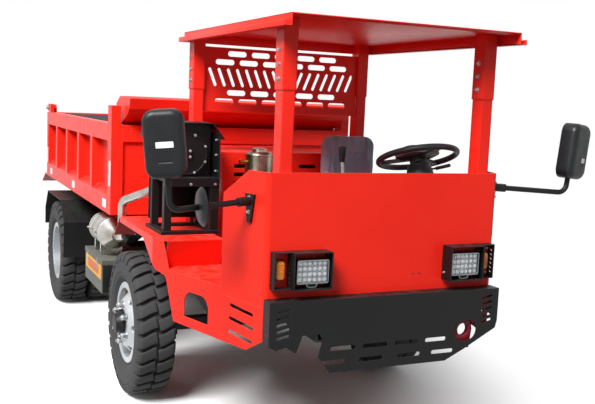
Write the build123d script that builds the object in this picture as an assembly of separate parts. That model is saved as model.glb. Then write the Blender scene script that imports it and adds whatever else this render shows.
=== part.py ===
from build123d import *
import math
import os

os.makedirs("parts", exist_ok=True)

# All sizes are in millimetres. Stations (y) run back from the front panel's face,
# +X is the truck's left, heights (z) start at the ground.

# Reach of the whole truck
ROOF_OVERHANG = 131.0
TAIL_STATION = 4950.0
PLATE = 5.0
RUN_GAP = 0.3
MOVE_GAP = 6.0

# Tyres and wheels
TYRE_RADIUS = 402.0
TYRE_HALF_WIDTH = 107.0
SIDEWALL_RADIUS = 310.0
SIDEWALL_HALF = 101.0
BEAD_STEP = 14.0
LUGS = 30
LUG_DEPTH = 15.0
LUG_CHAMFER_RADIUS = 386.0
LUG_CHAMFER_X = 84.0
LUG_FOOT_RADIUS = 352.0
# Corners of a lug in plan: across from the tyre's middle plane, round from the lug's middle
LUG_PLAN = ((1.0, -16.0), (11.0, 50.0), (108.0, 16.0), (108.0, -50.0))
# Step round the tread from the left row of lugs to the right one
LUG_ROW_STEP = 14.0
RIM_RADIUS = 204.0
RIM_WALL = 9.0
RIM_HALF_WIDTH = 76.0
FLANGE_RADIUS = 229.0
FLANGE_THICK = 8.0
DISC_THICK = 10.0
DISC_KNEE = 128.0
HAND_HOLES = 6
HAND_HOLE_CIRCLE = 161.0
HAND_HOLE_LENGTH = 46.0
HAND_HOLE_WIDTH = 30.0
FRONT_AXLE_STATION = 1344.0
REAR_AXLE_STATION = 3656.0
FRONT_WHEEL_X = 793.0
REAR_OUTER_X = 813.0
TWIN_SPACING = 245.0
HUB_RADIUS = 76.0
FRONT_SPINDLE_RADIUS = 30.0
REAR_SPINDLE_RADIUS = 45.0
FRONT_HUB_END = 942.0
REAR_HUB_END = 775.0

# Ladder frame
RAIL_OUT = 370.0
RAIL_FLANGE = 60.0
RAIL_WALL = 8.0
RAIL_BOTTOM = 640.0
RAIL_TOP = 780.0
FRAME_REAR = 4190.0
CROSS_TUBE_RADIUS = 30.0
CROSS_STATIONS = (60.0, 860.0, 1900.0, 2990.0, 4140.0)
BED_PAD_HEIGHT = 10.0
BED_PAD_STATIONS = (2150.0, 2900.0, 3900.0)
BED_PAD_LENGTH = 120.0

# Axles and springs
KINGPIN_X = 612.0
KINGPIN_RADIUS = 18.0
KINGPIN_BOSS_RADIUS = 36.0
KINGPIN_BOSS_HALF = 60.0
KNUCKLE_EAR = 25.0
AXLE_BEAM_HALF = 32.0
AXLE_BEAM_BOTTOM = 345.0
AXLE_BEAM_TOP = 410.0
REAR_TUBE_RADIUS = 58.0
DIFF_RADIUS = 150.0
DIFF_NOSE = 70.0
LEAF_WIDTH = 70.0
LEAF_THICK = 9.0
FRONT_LEAVES = 7
REAR_LEAVES = 8
FRONT_SPRING_HALF = 440.0
REAR_SPRING_HALF = 500.0
FRONT_SPRING_SAG = 90.0
REAR_SPRING_SAG = 60.0
SPRING_EYE_RADIUS = 24.0

# Steering linkage
ARM_LENGTH = 165.0
TIE_ROD_RADIUS = 12.5
TIE_EYE_RADIUS = 24.0
TIE_PIN_RADIUS = 10.0

# Front tub, fenders and decks
PANEL_HALF = 598.0
SIDE_TAPER = 0.304
TAPER_END = 862.0
CORNER_RADIUS = 25.0
TUB_BOTTOM = 793.0
TUB_TOP = 1380.0
TUB_REAR = 300.0
TUB_SLOPE_START = 128.0
TUB_SLOPE_END_Z = 1261.0
FENDER_BOTTOM = 578.0
FLOOR_TOP = 828.0
DECK_TOP = 970.0
DECK_INNER = 520.0
DECK_REAR = 1600.0
RISER_FOOT = 790.0
RISER_HEAD = 735.0
MUD_PLATE_REAR = 1749.0
MUD_PLATE_BOTTOM = 838.0
FLOOR_REAR = 1810.0

# Bumper
BUMPER_FACE = -72.0
BUMPER_HALF = 600.0
BUMPER_TOP = 832.0
BUMPER_LOW = 498.0
# Lower edge of the bumper from each end: distance in from the end, height over the lowest edge
BUMPER_RIGHT_EDGE = ((0, 143), (33, 123), (82, 133), (132, 102), (150, 153), (160, 180), (243, 180),
                     (258, 148), (239, 74), (299, 0))
BUMPER_LEFT_EDGE = ((292, 0), (186, 48), (9, 140), (0, 177))
BUMPER_SLOT_ROWS = ((108, ((299, 127), (463, 129), (628, 131), (793, 116))),
                    (47, ((251, 123), (436, 133), (645, 124), (830, 123))))
BUMPER_SLOT = 20.0
VENT_SLOTS = 5
VENT_PITCH = 29.0
VENT_LENGTH = 62.0
VENT_WIDTH = 13.0
VENT_LEAN = 12.0
VENT_INSET = 66.0
VENT_LOWEST = 178.0
BUMPER_PLATE = 6.0
TOW_INSET = 184.0
TOW_X = BUMPER_HALF - TOW_INSET
TOW_Z = 636.0
TOW_BORE_RADIUS = 30.0
TOW_PLATE = 24.0
TOW_PLATE_IN = 46.0
TOW_PLATE_OUT = 40.0
TOW_NOSE = 52.0
TOW_PLATE_DOWN = 91.0
TOW_PLATE_UP = 64.0
TOW_GUSSET = 20.0
TOW_GUSSET_REAR = 120.0
TOW_SETBACK = 14.0
TOW_OPENING_LENGTH = 128.0
TOW_OPENING_HEIGHT = 100.0

# Head lamps
LAMP_OUT = 575.0
LAMP_IN = 310.0
LAMP_DIVIDER = 495.0
LAMP_BOTTOM = 878.0
LAMP_TOP = 1042.0
LAMP_SHEET = 4.0
LAMP_DEPTH = 78.0
MARKER_BOX_DEPTH = 48.0
LAMP_SLOTS = 6
LAMP_SLOT_PITCH = 21.0
LAMP_SLOT_LENGTH = 20.0
LAMP_SLOT_WIDTH = 6.0
LAMP_SLOT_LEAN = 35.0
LED_X = 399.0
LED_Z = 956.0
LED_WIDTH = 142.0
LED_HEIGHT = 94.0
LED_BEZEL = 6.0
LED_SETBACK = 16.0
LED_LENS = 14.0
LED_BODY = 45.0
LED_COLUMNS = 6
LED_ROWS = 4
LED_CELL_GAP = 3.0
LED_CELL_DEPTH = 5.0
LED_FOOT = 40.0
MARKER_X = 536.0
MARKER_Z = 958.0
MARKER_WIDTH = 42.0
MARKER_HEIGHT = 83.0
MARKER_DEPTH = 30.0
TAIL_LAMP_IN = 450.0
TAIL_LAMP_OUT = 600.0
TAIL_LAMP_BOTTOM = 664.0
TAIL_LAMP_TOP = 744.0
TAIL_LAMP_DEPTH = 42.0
TAIL_BRACKET = 6.0
TAIL_BRACKET_SETBACK = 40.0
TAIL_BRACKET_FOOT = 690.0

# Canopy
POST_OUT = 545.0
POST_WIDTH = 58.0
POST_DEPTH = 78.0
FRONT_POST_STATION = 8.0
REAR_POST_STATION = 1240.0
ROOF_HALF = 579.0
ROOF_REAR = 1330.0
CANOPY_HEIGHT = 660.0
ROOF_TOP = TUB_TOP + CANOPY_HEIGHT
ROOF_SKIRT = 54.0
GUTTER_WIDTH = 32.0
GUTTER_LIP = 24.0
GUTTER_SHEET = 4.0
SLEEVE_LENGTH = 305.0
SLEEVE_LAP = 10.0
SLEEVE_WALL = 4.0
SCREEN_DROP = 72.0
SCREEN_HEIGHT = 358.0
# Rows of slots in the screen: depth below its top edge, sideways shift
SCREEN_ROWS = ((33.0, 0.0), (81.0, 71.0), (251.0, 0.0), (300.0, 71.0))
SCREEN_SLOT_PITCH = 143.0
SCREEN_SLOT_LENGTH = 112.0
SCREEN_SLOT_WIDTH = 30.0
CHEVRON_DEPTH = 166.0
CHEVRON_SLOTS = 8
CHEVRON_PITCH = 55.0
CHEVRON_START = 46.0
CHEVRON_LENGTH = 108.0
CHEVRON_WIDTH = 18.0
CHEVRON_LEAN = 68.0

# Radiator rack on the right deck
RACK_OUT = 805.0
RACK_IN = 490.0
RACK_FRONT = 905.0
RACK_REAR = 1225.0
RACK_SHELF = 1245.0
RACK_TOP = 1552.0
RACK_BASE = 18.0
RACK_SHELF_THICK = 20.0
RACK_SHEET = 6.0
RACK_APRON = 25.0
RACK_PANEL_TOP = 1500.0
COWL_FRONT = 970.0
COWL_EAVE = 1468.0
COWL_OUT = 848.0
COWL_IN = 447.0
COWL_BEND_OUT = 795.0
COWL_BEND_IN = 515.0
CORE_FRONT = 1025.0
CORE_REAR = 1185.0
CORE_INSET = 20.0
SHROUD_DEPTH = 30.0
SHROUD_WALL = 8.0
SHROUD_RECESS = 8.0
SHROUD_BOSS = 32.0
RACK_POST = 40.0
SHROUD_RADIUS = 112.0

# Engine and hood
HOOD_RIGHT = -391.0
HOOD_LEFT = 254.0
HOOD_FRONT = 1150.0
HOOD_SETBACK = 195.0
HOOD_TOP = 1388.0
LOUVRE_DROP = 78.0
LOUVRE_ROWS = 3
LOUVRE_ROW_PITCH = 47.5
LOUVRE_COLUMNS = 3
LOUVRE_COLUMN_PITCH = 200.0
LOUVRE_INSET = 121.0
LOUVRE_LENGTH = 112.0
LOUVRE_WIDTH = 22.0
ENGINE_BOTTOM = 455.0
ENGINE_TOP = 1310.0
GEARBOX_Z = 490.0
GEARBOX_RADIUS = 95.0
GEARBOX_LENGTH = 330.0
OIL_TANK_X = -212.0
OIL_TANK_STATION = 1060.0
OIL_TANK_RADIUS = 80.0
OIL_TANK_TOP = 1385.0
OIL_TANK_HEIGHT = 265.0
OIL_TANK_LID = 12.0
OIL_TANK_CAP = 18.0
OIL_BRACKET_HALF = 30.0
OIL_BRACKET_RISE = 20.0
OIL_BRACKET_HEIGHT = 40.0

# Driver's place
SEAT_X = 318.0
SEAT_WIDTH = 350.0
SEAT_FRONT = 560.0
SEAT_BACK = 1080.0
CUSHION_BOTTOM = 1010.0
CUSHION_TOP = 1115.0
BACKREST_TOP = 1515.0
COLUMN_TILT = 20.0
STEER_WHEEL_X = 333.0
STEER_WHEEL_STATION = 300.0
STEER_WHEEL_Z = 1432.0
STEER_WHEEL_RADIUS = 195.0
STEER_RIM_RADIUS = 15.0
COLUMN_RADIUS = 30.0
GEAR_FOOT_X = 60.0
GEAR_FOOT_STATION = 500.0
GEAR_BOOT_RADIUS = 40.0
GEAR_BOOT_HEIGHT = 40.0
GEAR_ROD_RADIUS = 8.0
KNOB_X = 40.0
KNOB_STATION = 550.0
KNOB_BOTTOM = 1388.0
KNOB_HEIGHT = 76.0
KNOB_NECK_RADIUS = 15.0
KNOB_TOP_RADIUS = 22.0
KNOB_EDGE = 4.0

# Exhaust purifier, battery box, tank
PURIFIER_X = -785.0
PURIFIER_Z = 790.0
PURIFIER_RADIUS = 98.0
PURIFIER_SETBACK = 30.0
PURIFIER_LENGTH = 410.0
PIPE_RADIUS = 27.0
PIPE_BEND = 55.0
PIPE_EXIT_SETBACK = 150.0
PIPE_EXIT_Z = 1130.0
PIPE_RUN_X = -640.0
PIPE_DROP_Z = 1030.0
PIPE_LEAD = 125.0
BOX_OUT = 885.0
BOX_IN = 600.0
BOX_SETBACK = 616.0
BOX_FRONT = FRONT_AXLE_STATION + BOX_SETBACK
BOX_LENGTH = 545.0
BOX_REAR = BOX_FRONT + BOX_LENGTH
PURIFIER_FRONT = BOX_FRONT + PURIFIER_SETBACK
PURIFIER_REAR = PURIFIER_FRONT + PURIFIER_LENGTH
BOX_BOTTOM = 424.0
BOX_TOP = 638.0
BOX_CORNER = 6.0
BOX_LID = 30.0
BOX_LID_LAP = 4.0
TANK_LENGTH = 660.0
TANK_REAR = BOX_FRONT + TANK_LENGTH
TANK_TOP = 700.0
TANK_CORNER = 40.0
TANK_STRAP = 4.0
TANK_STRAP_WIDTH = 45.0

# Mirrors
MIRROR_OUT = 1120.0
MIRROR_WIDTH = 165.0
MIRROR_STEM_X = MIRROR_OUT - MIRROR_WIDTH / 2
MIRROR_BOTTOM = 1357.0
MIRROR_HEIGHT = 276.0
MIRROR_DEPTH = 84.0
MIRROR_STEM_BACK = 12.0
MIRROR_CORNER = 48.0
MIRROR_CROWN = 28.0
MIRROR_LEAN = 6.0
MIRROR_YAW = 20.0
MIRROR_ARM_RADIUS = 13.0
MIRROR_ARM_FOOT = 12.0
FOOT_HALF = 32.0
FOOT_UP = 30.0
FOOT_DOWN = 95.0
FOOT_TIP_HALF = 12.0
CLAMP_RADIUS = 20.0
CLAMP_LENGTH = 66.0
RIGHT_ARM_START = (107.0, 1248.0)
LEFT_ARM_START = (60.0, 1308.0)
ARM_DROP = 24.0
ARM_BEND = 45.0
ROUND_MIRROR_INSET = 147.0
ROUND_MIRROR_HALF = 13.0
ROUND_MIRROR_RADIUS = 83.0

# Bed
BED_HALF = 835.0
BED_WALL = 75.0
BED_FRONT = 1985.0
HOOD_REAR = BED_FRONT - HOOD_SETBACK
BED_REAR = 4670.0
BED_BAND_BOTTOM = 923.0
BED_BAND_TOP = 1034.0
BED_RAIL_BOTTOM = 1388.0
BED_RAIL_TOP = 1497.0
BED_FLOOR_THICK = 12.0
WALL_TOP = BED_RAIL_TOP - PLATE
CORNER_POST_RISE = 115.0
CORNER_POST_TOP = BED_RAIL_TOP + CORNER_POST_RISE
# Visor profile: distance behind the bed's front, height over the front wall
VISOR_SKIN = ((130, 180), (-103, 182), (-145, 169), (-127, 104), (-95, 75), (97, 0))
VISOR_EAR_FOOT = (155, 0)
VISOR_EAR_HEAD = (236, 129)
WALL_STEP = 20.0
WALL_PLATE = 12.0
WALL_FLANGE = 105.0
WALL_FLANGE_PLATE = 8.0
CORNER_POST_LENGTH = 100.0
POCKETS = 5
POCKET_DEPTH = 60.0
RIB_WIDTH = 62.0
BEAM_WIDTH = 65.0
BEAM_OUT = RAIL_OUT - MOVE_GAP
BEAM_REAR = 4330.0
BEARER_HALF = 640.0
BEARER_LENGTH = 60.0
BEARER_DEPTH = 55.0
HINGE_STATION = 4250.0
HINGE_Z = 842.0
HINGE_PIN_RADIUS = 25.0
EAR_THICK = 20.0
GATE_THICK = 50.0
GATE_HINGE_STATION = 4715.0
GATE_HINGE_Z = 1537.0
GATE_PIN_RADIUS = 15.0
GATE_EAR_RADIUS = 33.0
CHUTE_STATION = 4765.0
CHUTE_DROP = 85.0

# Hoist cylinders, laid between the rails
HOIST_X = 170.0
HOIST_STATION = 2250.0
HOIST_Z = 560.0
HOIST_EYE_STATION = 3250.0
HOIST_EYE_Z = 852.0
BARREL_RADIUS = 50.0
ROD_RADIUS = 28.0
BARREL_LENGTH = 880.0
HOIST_PIN_RADIUS = 20.0
HOIST_EYE_RADIUS = 40.0
HOIST_EYE_WIDTH = 50.0
HOIST_EAR = 14.0
HOIST_BEARER_FRONT = 160.0
HOIST_BEARER_REAR = 250.0

# Rear mudguards
GUARD_IN = 440.0
GUARD_OUT = 925.0
GUARD_TOP = 855.0

# The model's origin lies under the middle of its box
ORIGIN_STATION = (TAIL_STATION - ROOF_OVERHANG) / 2


def block(x0, x1, y0, y1, z0, z1):
    """Box between two corners."""
    return Pos((x0 + x1) / 2, (y0 + y1) / 2, (z0 + z1) / 2) * Box(x1 - x0, y1 - y0, z1 - z0)


def prism(outline, axis, low, high):
    """Outline in the plane across an axis, drawn out from low to high along it."""
    spread = {
        "X": lambda a, b: (low, a, b),
        "Y": lambda a, b: (a, low, b),
        "Z": lambda a, b: (a, b, low),
    }
    direction = {"X": (1, 0, 0), "Y": (0, 1, 0), "Z": (0, 0, 1)}
    points = [spread[axis](a, b) for a, b in outline]
    face = make_face(Polyline(*points, close=True))
    return extrude(face, amount=high - low, dir=direction[axis])


def rod(start, end, radius):
    """Round bar between two points."""
    run = Vector(*end) - Vector(*start)
    return extrude(Plane(origin=start, z_dir=run) * Circle(radius), amount=run.length)


def bent_tube(points, bend, radius):
    """Round bar along a path with rounded corners."""
    path = FilletPolyline(*points, radius=bend)
    return sweep(Plane(origin=path @ 0, z_dir=path % 0) * Circle(radius), path=path)


def bent_plate(points, thick, low, high):
    """Plate folded along X: the path's (y, z) points are on its upper face."""
    path = Polyline(*[(low, y, z) for y, z in points])
    lower = Polyline(*[(low, y, z) for y, z in shifted(points, thick)])
    ends = [Line(path @ 0, lower @ 0), Line(path @ 1, lower @ 1)]
    return extrude(make_face([path, lower, *ends]), amount=high - low, dir=(1, 0, 0))


def shifted(points, thick):
    """Points of a parallel path on the right-hand side of an open path."""
    result = []
    for i, (y, z) in enumerate(points):
        normals = []
        for a, b in ((i - 1, i), (i, i + 1)):
            if a >= 0 and b < len(points):
                dy = points[b][0] - points[a][0]
                dz = points[b][1] - points[a][1]
                size = math.hypot(dy, dz)
                normals.append((dz / size, -dy / size))
        ny = sum(n[0] for n in normals) / len(normals)
        nz = sum(n[1] for n in normals) / len(normals)
        share = ny * ny + nz * nz
        result.append((y + thick * ny / share, z + thick * nz / share))
    return result


def spun(outline):
    """Solid of revolution about X: outline points are (x, radius)."""
    return revolve(make_face(Polyline(*outline, close=True)), Axis.X)


def at_both(solid):
    """The solid on the left and its mirror image on the right."""
    return solid + mirror(solid, about=Plane.YZ)


def slot(length, width, depth):
    """Round-ended slot cutter, long in X, cutting along Y."""
    return extrude(Plane.XZ * SlotOverall(length, width), amount=depth, both=True)


def side_x(station):
    """Half-width of the tapered front body at a station."""
    return PANEL_HALF + SIDE_TAPER * min(station, TAPER_END)


def side_plate(outline):
    """Plate on the left tapered side; outline points are (station, z)."""
    stretch = math.hypot(1, SIDE_TAPER)
    face_plane = Plane(origin=(PANEL_HALF, 0, 0), x_dir=(SIDE_TAPER, 1, 0), z_dir=(1, -SIDE_TAPER, 0))
    flat = make_face(Polyline(*[(y * stretch, z) for y, z in outline], close=True))
    return extrude(face_plane * flat, amount=-PLATE)


def side_cutter(sketch, station, z):
    """Cutter through the left tapered side, from a sketch at a station and height."""
    stretch = math.hypot(1, SIDE_TAPER)
    face_plane = Plane(origin=(PANEL_HALF, 0, 0), x_dir=(SIDE_TAPER, 1, 0), z_dir=(1, -SIDE_TAPER, 0))
    return extrude(face_plane * Pos(station * stretch, z) * sketch, amount=4 * PLATE, both=True)


# Ladder frame and running gear
def rails():
    inner = RAIL_OUT - RAIL_FLANGE
    front = BUMPER_FACE + BUMPER_PLATE
    rail = block(inner, RAIL_OUT, front, FRAME_REAR, RAIL_BOTTOM, RAIL_TOP)
    rail -= block(inner, RAIL_OUT - RAIL_WALL, front, FRAME_REAR,
                  RAIL_BOTTOM + RAIL_WALL, RAIL_TOP - RAIL_WALL)
    for station in BED_PAD_STATIONS:
        rail += block(inner, BEAM_OUT, station, station + BED_PAD_LENGTH, RAIL_TOP, RAIL_TOP + BED_PAD_HEIGHT)
    ear_half = HINGE_PIN_RADIUS + 35
    ear = prism([(FRAME_REAR - 160, RAIL_BOTTOM + 20), (HINGE_STATION, RAIL_BOTTOM + 60),
                 (HINGE_STATION + ear_half, HINGE_Z), (HINGE_STATION, HINGE_Z + ear_half),
                 (HINGE_STATION - ear_half, HINGE_Z), (FRAME_REAR - 160, RAIL_TOP)],
                "X", RAIL_OUT, RAIL_OUT + EAR_THICK)
    pin = rod((BEAM_OUT - BEAM_WIDTH - 10, HINGE_STATION, HINGE_Z),
              (RAIL_OUT + EAR_THICK + 12, HINGE_STATION, HINGE_Z), HINGE_PIN_RADIUS)
    return at_both(rail + ear + pin)


def crossmembers():
    web = RAIL_OUT - RAIL_WALL
    middle = (RAIL_BOTTOM + RAIL_TOP) / 2
    tubes = Part()
    for station in CROSS_STATIONS:
        tubes += rod((-web, station, middle - 30), (web, station, middle - 30), CROSS_TUBE_RADIUS)
    hanger_half = HOIST_PIN_RADIUS + 18
    hanger = block(HOIST_X + 90, HOIST_X + 105, HOIST_STATION - hanger_half, HOIST_STATION + hanger_half,
                   HOIST_Z - hanger_half, RAIL_BOTTOM + 80)
    foot = block(HOIST_X + 90, web, HOIST_STATION - hanger_half, HOIST_STATION + hanger_half,
                 RAIL_BOTTOM + RAIL_WALL, RAIL_BOTTOM + 80)
    shaft = rod((-HOIST_X - 105, HOIST_STATION, HOIST_Z), (HOIST_X + 105, HOIST_STATION, HOIST_Z), HOIST_PIN_RADIUS)
    return tubes + at_both(hanger + foot) + shaft


def front_axle():
    y, z = FRONT_AXLE_STATION, TYRE_RADIUS
    beam = block(-KINGPIN_X, KINGPIN_X, y - AXLE_BEAM_HALF, y + AXLE_BEAM_HALF, AXLE_BEAM_BOTTOM, AXLE_BEAM_TOP)
    web_depth = AXLE_BEAM_HALF - 8
    for side in (-1, 1):
        beam -= block(-KINGPIN_X + 90, KINGPIN_X - 90, y + side * AXLE_BEAM_HALF - web_depth / 2,
                      y + side * AXLE_BEAM_HALF + web_depth / 2, AXLE_BEAM_BOTTOM + 14, AXLE_BEAM_TOP - 14)
    ends = (z - KINGPIN_BOSS_HALF, z + KINGPIN_BOSS_HALF)
    boss = rod((KINGPIN_X, y, ends[0]), (KINGPIN_X, y, ends[1]), KINGPIN_BOSS_RADIUS)
    bore = rod((KINGPIN_X, y, ends[0]), (KINGPIN_X, y, ends[1]), KINGPIN_RADIUS + RUN_GAP)
    return beam + at_both(boss) - at_both(bore)


def rear_axle():
    y, z = REAR_AXLE_STATION, TYRE_RADIUS
    shield = GUARD_IN - 4
    tube = rod((-shield, y, z), (shield, y, z), REAR_TUBE_RADIUS)
    case = Pos(0, y, z) * Sphere(DIFF_RADIUS)
    nose = rod((0, y, z), (0, y - DIFF_RADIUS - DIFF_NOSE, z), 62)
    seat = block(RAIL_OUT - LEAF_WIDTH, RAIL_OUT + 4, y - 45, y + 45, z, z + REAR_TUBE_RADIUS + 4)
    plate = rod((shield - 8, y, z), (shield, y, z), 150)
    spindle = rod((shield, y, z), (REAR_HUB_END - 35, y, z), REAR_SPINDLE_RADIUS)
    return tube + case + nose + at_both(seat + plate + spindle)


def leaf_pack(station, seat, leaves, half, sag):
    """One spring: bowed leaves under the main leaf, with eyes and hangers up to the rail."""
    x0 = RAIL_OUT - RAIL_FLANGE / 2 - LEAF_WIDTH / 2
    bow = (half * half + sag * sag) / (2 * sag)
    top = seat + leaves * LEAF_THICK
    centre = top + bow
    pack = Part()
    for i in range(leaves):
        inner = bow + i * LEAF_THICK
        reach = half * (1 - 0.8 * i / leaves)
        ring = Circle(inner + LEAF_THICK) - Circle(inner)
        ring &= Pos(0, -centre / 2) * Rectangle(2 * reach, centre)
        pack += extrude(Plane(origin=(x0, station, centre), x_dir=(0, 1, 0), z_dir=(1, 0, 0)) * ring,
                        amount=LEAF_WIDTH)
    eye_z = centre - math.sqrt(bow * bow - half * half) + SPRING_EYE_RADIUS - LEAF_THICK
    for side in (-1, 1):
        y = station + side * half
        pack += rod((x0, y, eye_z), (x0 + LEAF_WIDTH, y, eye_z), SPRING_EYE_RADIUS)
        pack += block(x0 + 8, x0 + LEAF_WIDTH - 8, y - 20, y + 20, eye_z, RAIL_BOTTOM)
    clamp = (leaves * LEAF_THICK) + 12
    for side in (-1, 1):
        y = station + side * 38
        pack += block(x0 - 6, x0 + LEAF_WIDTH + 6, y - 7, y + 7, seat, seat + clamp)
    return pack


def leaf_springs():
    front = leaf_pack(FRONT_AXLE_STATION, AXLE_BEAM_TOP, FRONT_LEAVES, FRONT_SPRING_HALF, FRONT_SPRING_SAG)
    rear_seat = TYRE_RADIUS + REAR_TUBE_RADIUS + 4
    rear = leaf_pack(REAR_AXLE_STATION, rear_seat, REAR_LEAVES, REAR_SPRING_HALF, REAR_SPRING_SAG)
    return at_both(front + rear)


def knuckle():
    """Left steering knuckle: ears round the axle boss, kingpin, spindle and arm."""
    x, y, z = KINGPIN_X, FRONT_AXLE_STATION, TYRE_RADIUS
    gap = 2.0
    low = z - KINGPIN_BOSS_HALF - gap
    high = z + KINGPIN_BOSS_HALF + gap
    back = x + KINGPIN_BOSS_RADIUS + MOVE_GAP
    body = block(back, back + 22, y - 60, y + 60, low - KNUCKLE_EAR, high + KNUCKLE_EAR)
    for base in (low - KNUCKLE_EAR, high):
        body += rod((x, y, base), (x, y, base + KNUCKLE_EAR), KINGPIN_BOSS_RADIUS + 4)
        body += block(x, back, y - KINGPIN_BOSS_RADIUS, y + KINGPIN_BOSS_RADIUS, base, base + KNUCKLE_EAR)
    body += rod((x, y, low - KNUCKLE_EAR), (x, y, high + KNUCKLE_EAR), KINGPIN_RADIUS)
    body += rod((back + 20, y, z), (FRONT_HUB_END - 50, y, z), FRONT_SPINDLE_RADIUS)
    arm_z = low - KNUCKLE_EAR
    body += block(x - 15, x + 15, y, y + ARM_LENGTH, arm_z, arm_z + KNUCKLE_EAR)
    body += rod((x, y + ARM_LENGTH, arm_z), (x, y + ARM_LENGTH, arm_z + KNUCKLE_EAR), TIE_EYE_RADIUS)
    body += rod((x, y + ARM_LENGTH, arm_z - 36), (x, y + ARM_LENGTH, arm_z), TIE_PIN_RADIUS)
    return body


def tie_rod():
    y = FRONT_AXLE_STATION + ARM_LENGTH
    arm_z = TYRE_RADIUS - KINGPIN_BOSS_HALF - 2 - KNUCKLE_EAR
    top = arm_z - 2
    bottom = top - 28
    bar = rod((-KINGPIN_X, y, (top + bottom) / 2), (KINGPIN_X, y, (top + bottom) / 2), TIE_ROD_RADIUS)
    for x in (-KINGPIN_X, KINGPIN_X):
        bar += rod((x, y, bottom), (x, y, top), TIE_EYE_RADIUS)
    for x in (-KINGPIN_X, KINGPIN_X):
        bar -= rod((x, y, bottom), (x, y, top), TIE_PIN_RADIUS + RUN_GAP)
    return bar


def lug():
    """One lug of the left row, at the top of the tyre: a sloped block that runs down the shoulder."""
    reach = max(abs(t) for x, t in LUG_PLAN)
    top = math.sqrt(TYRE_RADIUS ** 2 - reach ** 2)
    foot = LUG_FOOT_RADIUS - LUG_DEPTH
    plan = prism([(x, t) for x, t in LUG_PLAN], "Z", foot, TYRE_RADIUS)
    profile = prism([(0, top - 2 * LUG_DEPTH), (0, top), (LUG_CHAMFER_X, top),
                     (SIDEWALL_HALF, LUG_CHAMFER_RADIUS), (TYRE_HALF_WIDTH, LUG_FOOT_RADIUS),
                     (SIDEWALL_HALF - LUG_DEPTH, foot)], "Y", -TYRE_HALF_WIDTH, TYRE_HALF_WIDTH)
    return plan & profile


def tyre():
    """Mine tyre on the X axis: carcass with its beads, and two stepped rows of slanted lugs."""
    bead = RIM_HALF_WIDTH - RUN_GAP
    bore = RIM_RADIUS + RUN_GAP
    crown = TYRE_RADIUS - LUG_DEPTH
    half = [(bead, bore), (bead, FLANGE_RADIUS + RUN_GAP), (bead + BEAD_STEP, FLANGE_RADIUS + BEAD_STEP),
            (SIDEWALL_HALF, SIDEWALL_RADIUS), (SIDEWALL_HALF - RUN_GAP, LUG_FOOT_RADIUS), (LUG_CHAMFER_X, crown)]
    carcass = spun(half + [(-x, r) for x, r in reversed(half)])
    pitch = 360 / LUGS
    lowest = math.degrees(math.asin(max(t for x, t in LUG_PLAN) / TYRE_RADIUS))
    step = math.degrees(LUG_ROW_STEP / TYRE_RADIUS)
    left = lug()
    right = Rot(0, 0, 180) * left
    rows = [Rot(180 + lowest + pitch * i, 0, 0) * left for i in range(LUGS)]
    rows += [Rot(180 + lowest - step + pitch * i, 0, 0) * right for i in range(LUGS)]
    return carcass.fuse(*rows)


def rim_ring():
    """Rim barrel with a flange on each edge."""
    half = [(RIM_HALF_WIDTH, RIM_RADIUS), (RIM_HALF_WIDTH, FLANGE_RADIUS),
            (RIM_HALF_WIDTH + FLANGE_THICK, FLANGE_RADIUS), (RIM_HALF_WIDTH + FLANGE_THICK, RIM_RADIUS - RIM_WALL)]
    return spun(half + [(-x, r) for x, r in reversed(half)])


def wheel_disc(flat_x, rim_x):
    """Dished disc: flat round the hub, cone out to the barrel, with oval hand holes."""
    rim_in = RIM_RADIUS - RIM_WALL / 2
    disc = spun([(flat_x, 0), (flat_x, DISC_KNEE), (rim_x, rim_in), (rim_x + DISC_THICK, rim_in),
                 (flat_x + DISC_THICK, DISC_KNEE), (flat_x + DISC_THICK, 0)])
    through = abs(rim_x - flat_x) + 2 * DISC_THICK
    hole = extrude(Plane.YZ * SlotOverall(HAND_HOLE_LENGTH, HAND_HOLE_WIDTH), amount=through, both=True)
    for i in range(HAND_HOLES):
        disc -= Rot(360 / HAND_HOLES * i, 0, 0) * Pos(rim_x, 0, HAND_HOLE_CIRCLE) * hole
    return disc


def front_wheel():
    """Left front wheel about its own centre: rim, dished disc, hub with spindle bore."""
    end = FRONT_HUB_END - FRONT_WHEEL_X
    wheel = rim_ring() + wheel_disc(58, 20)
    wheel += rod((-70, 0, 0), (84, 0, 0), HUB_RADIUS)
    wheel += rod((84, 0, 0), (end, 0, 0), 52)
    return wheel - rod((-71, 0, 0), (end - 40, 0, 0), FRONT_SPINDLE_RADIUS + RUN_GAP)


def rear_wheels():
    """Left twin wheels about the outer wheel's centre."""
    meet = -TWIN_SPACING / 2
    end = REAR_HUB_END - REAR_OUTER_X
    pair = rim_ring() + wheel_disc(meet, meet + 36)
    inner = rim_ring() + wheel_disc(TWIN_SPACING / 2 - DISC_THICK, TWIN_SPACING / 2 - DISC_THICK - 36)
    pair += Pos(-TWIN_SPACING, 0, 0) * inner
    hub_in = GUARD_IN + 60 - REAR_OUTER_X
    pair += rod((hub_in, 0, 0), (end - 30, 0, 0), HUB_RADIUS + 10)
    pair += rod((end - 30, 0, 0), (end, 0, 0), HUB_RADIUS - 10)
    return pair - rod((hub_in - 1, 0, 0), (end - 30, 0, 0), REAR_SPINDLE_RADIUS + RUN_GAP)


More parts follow.
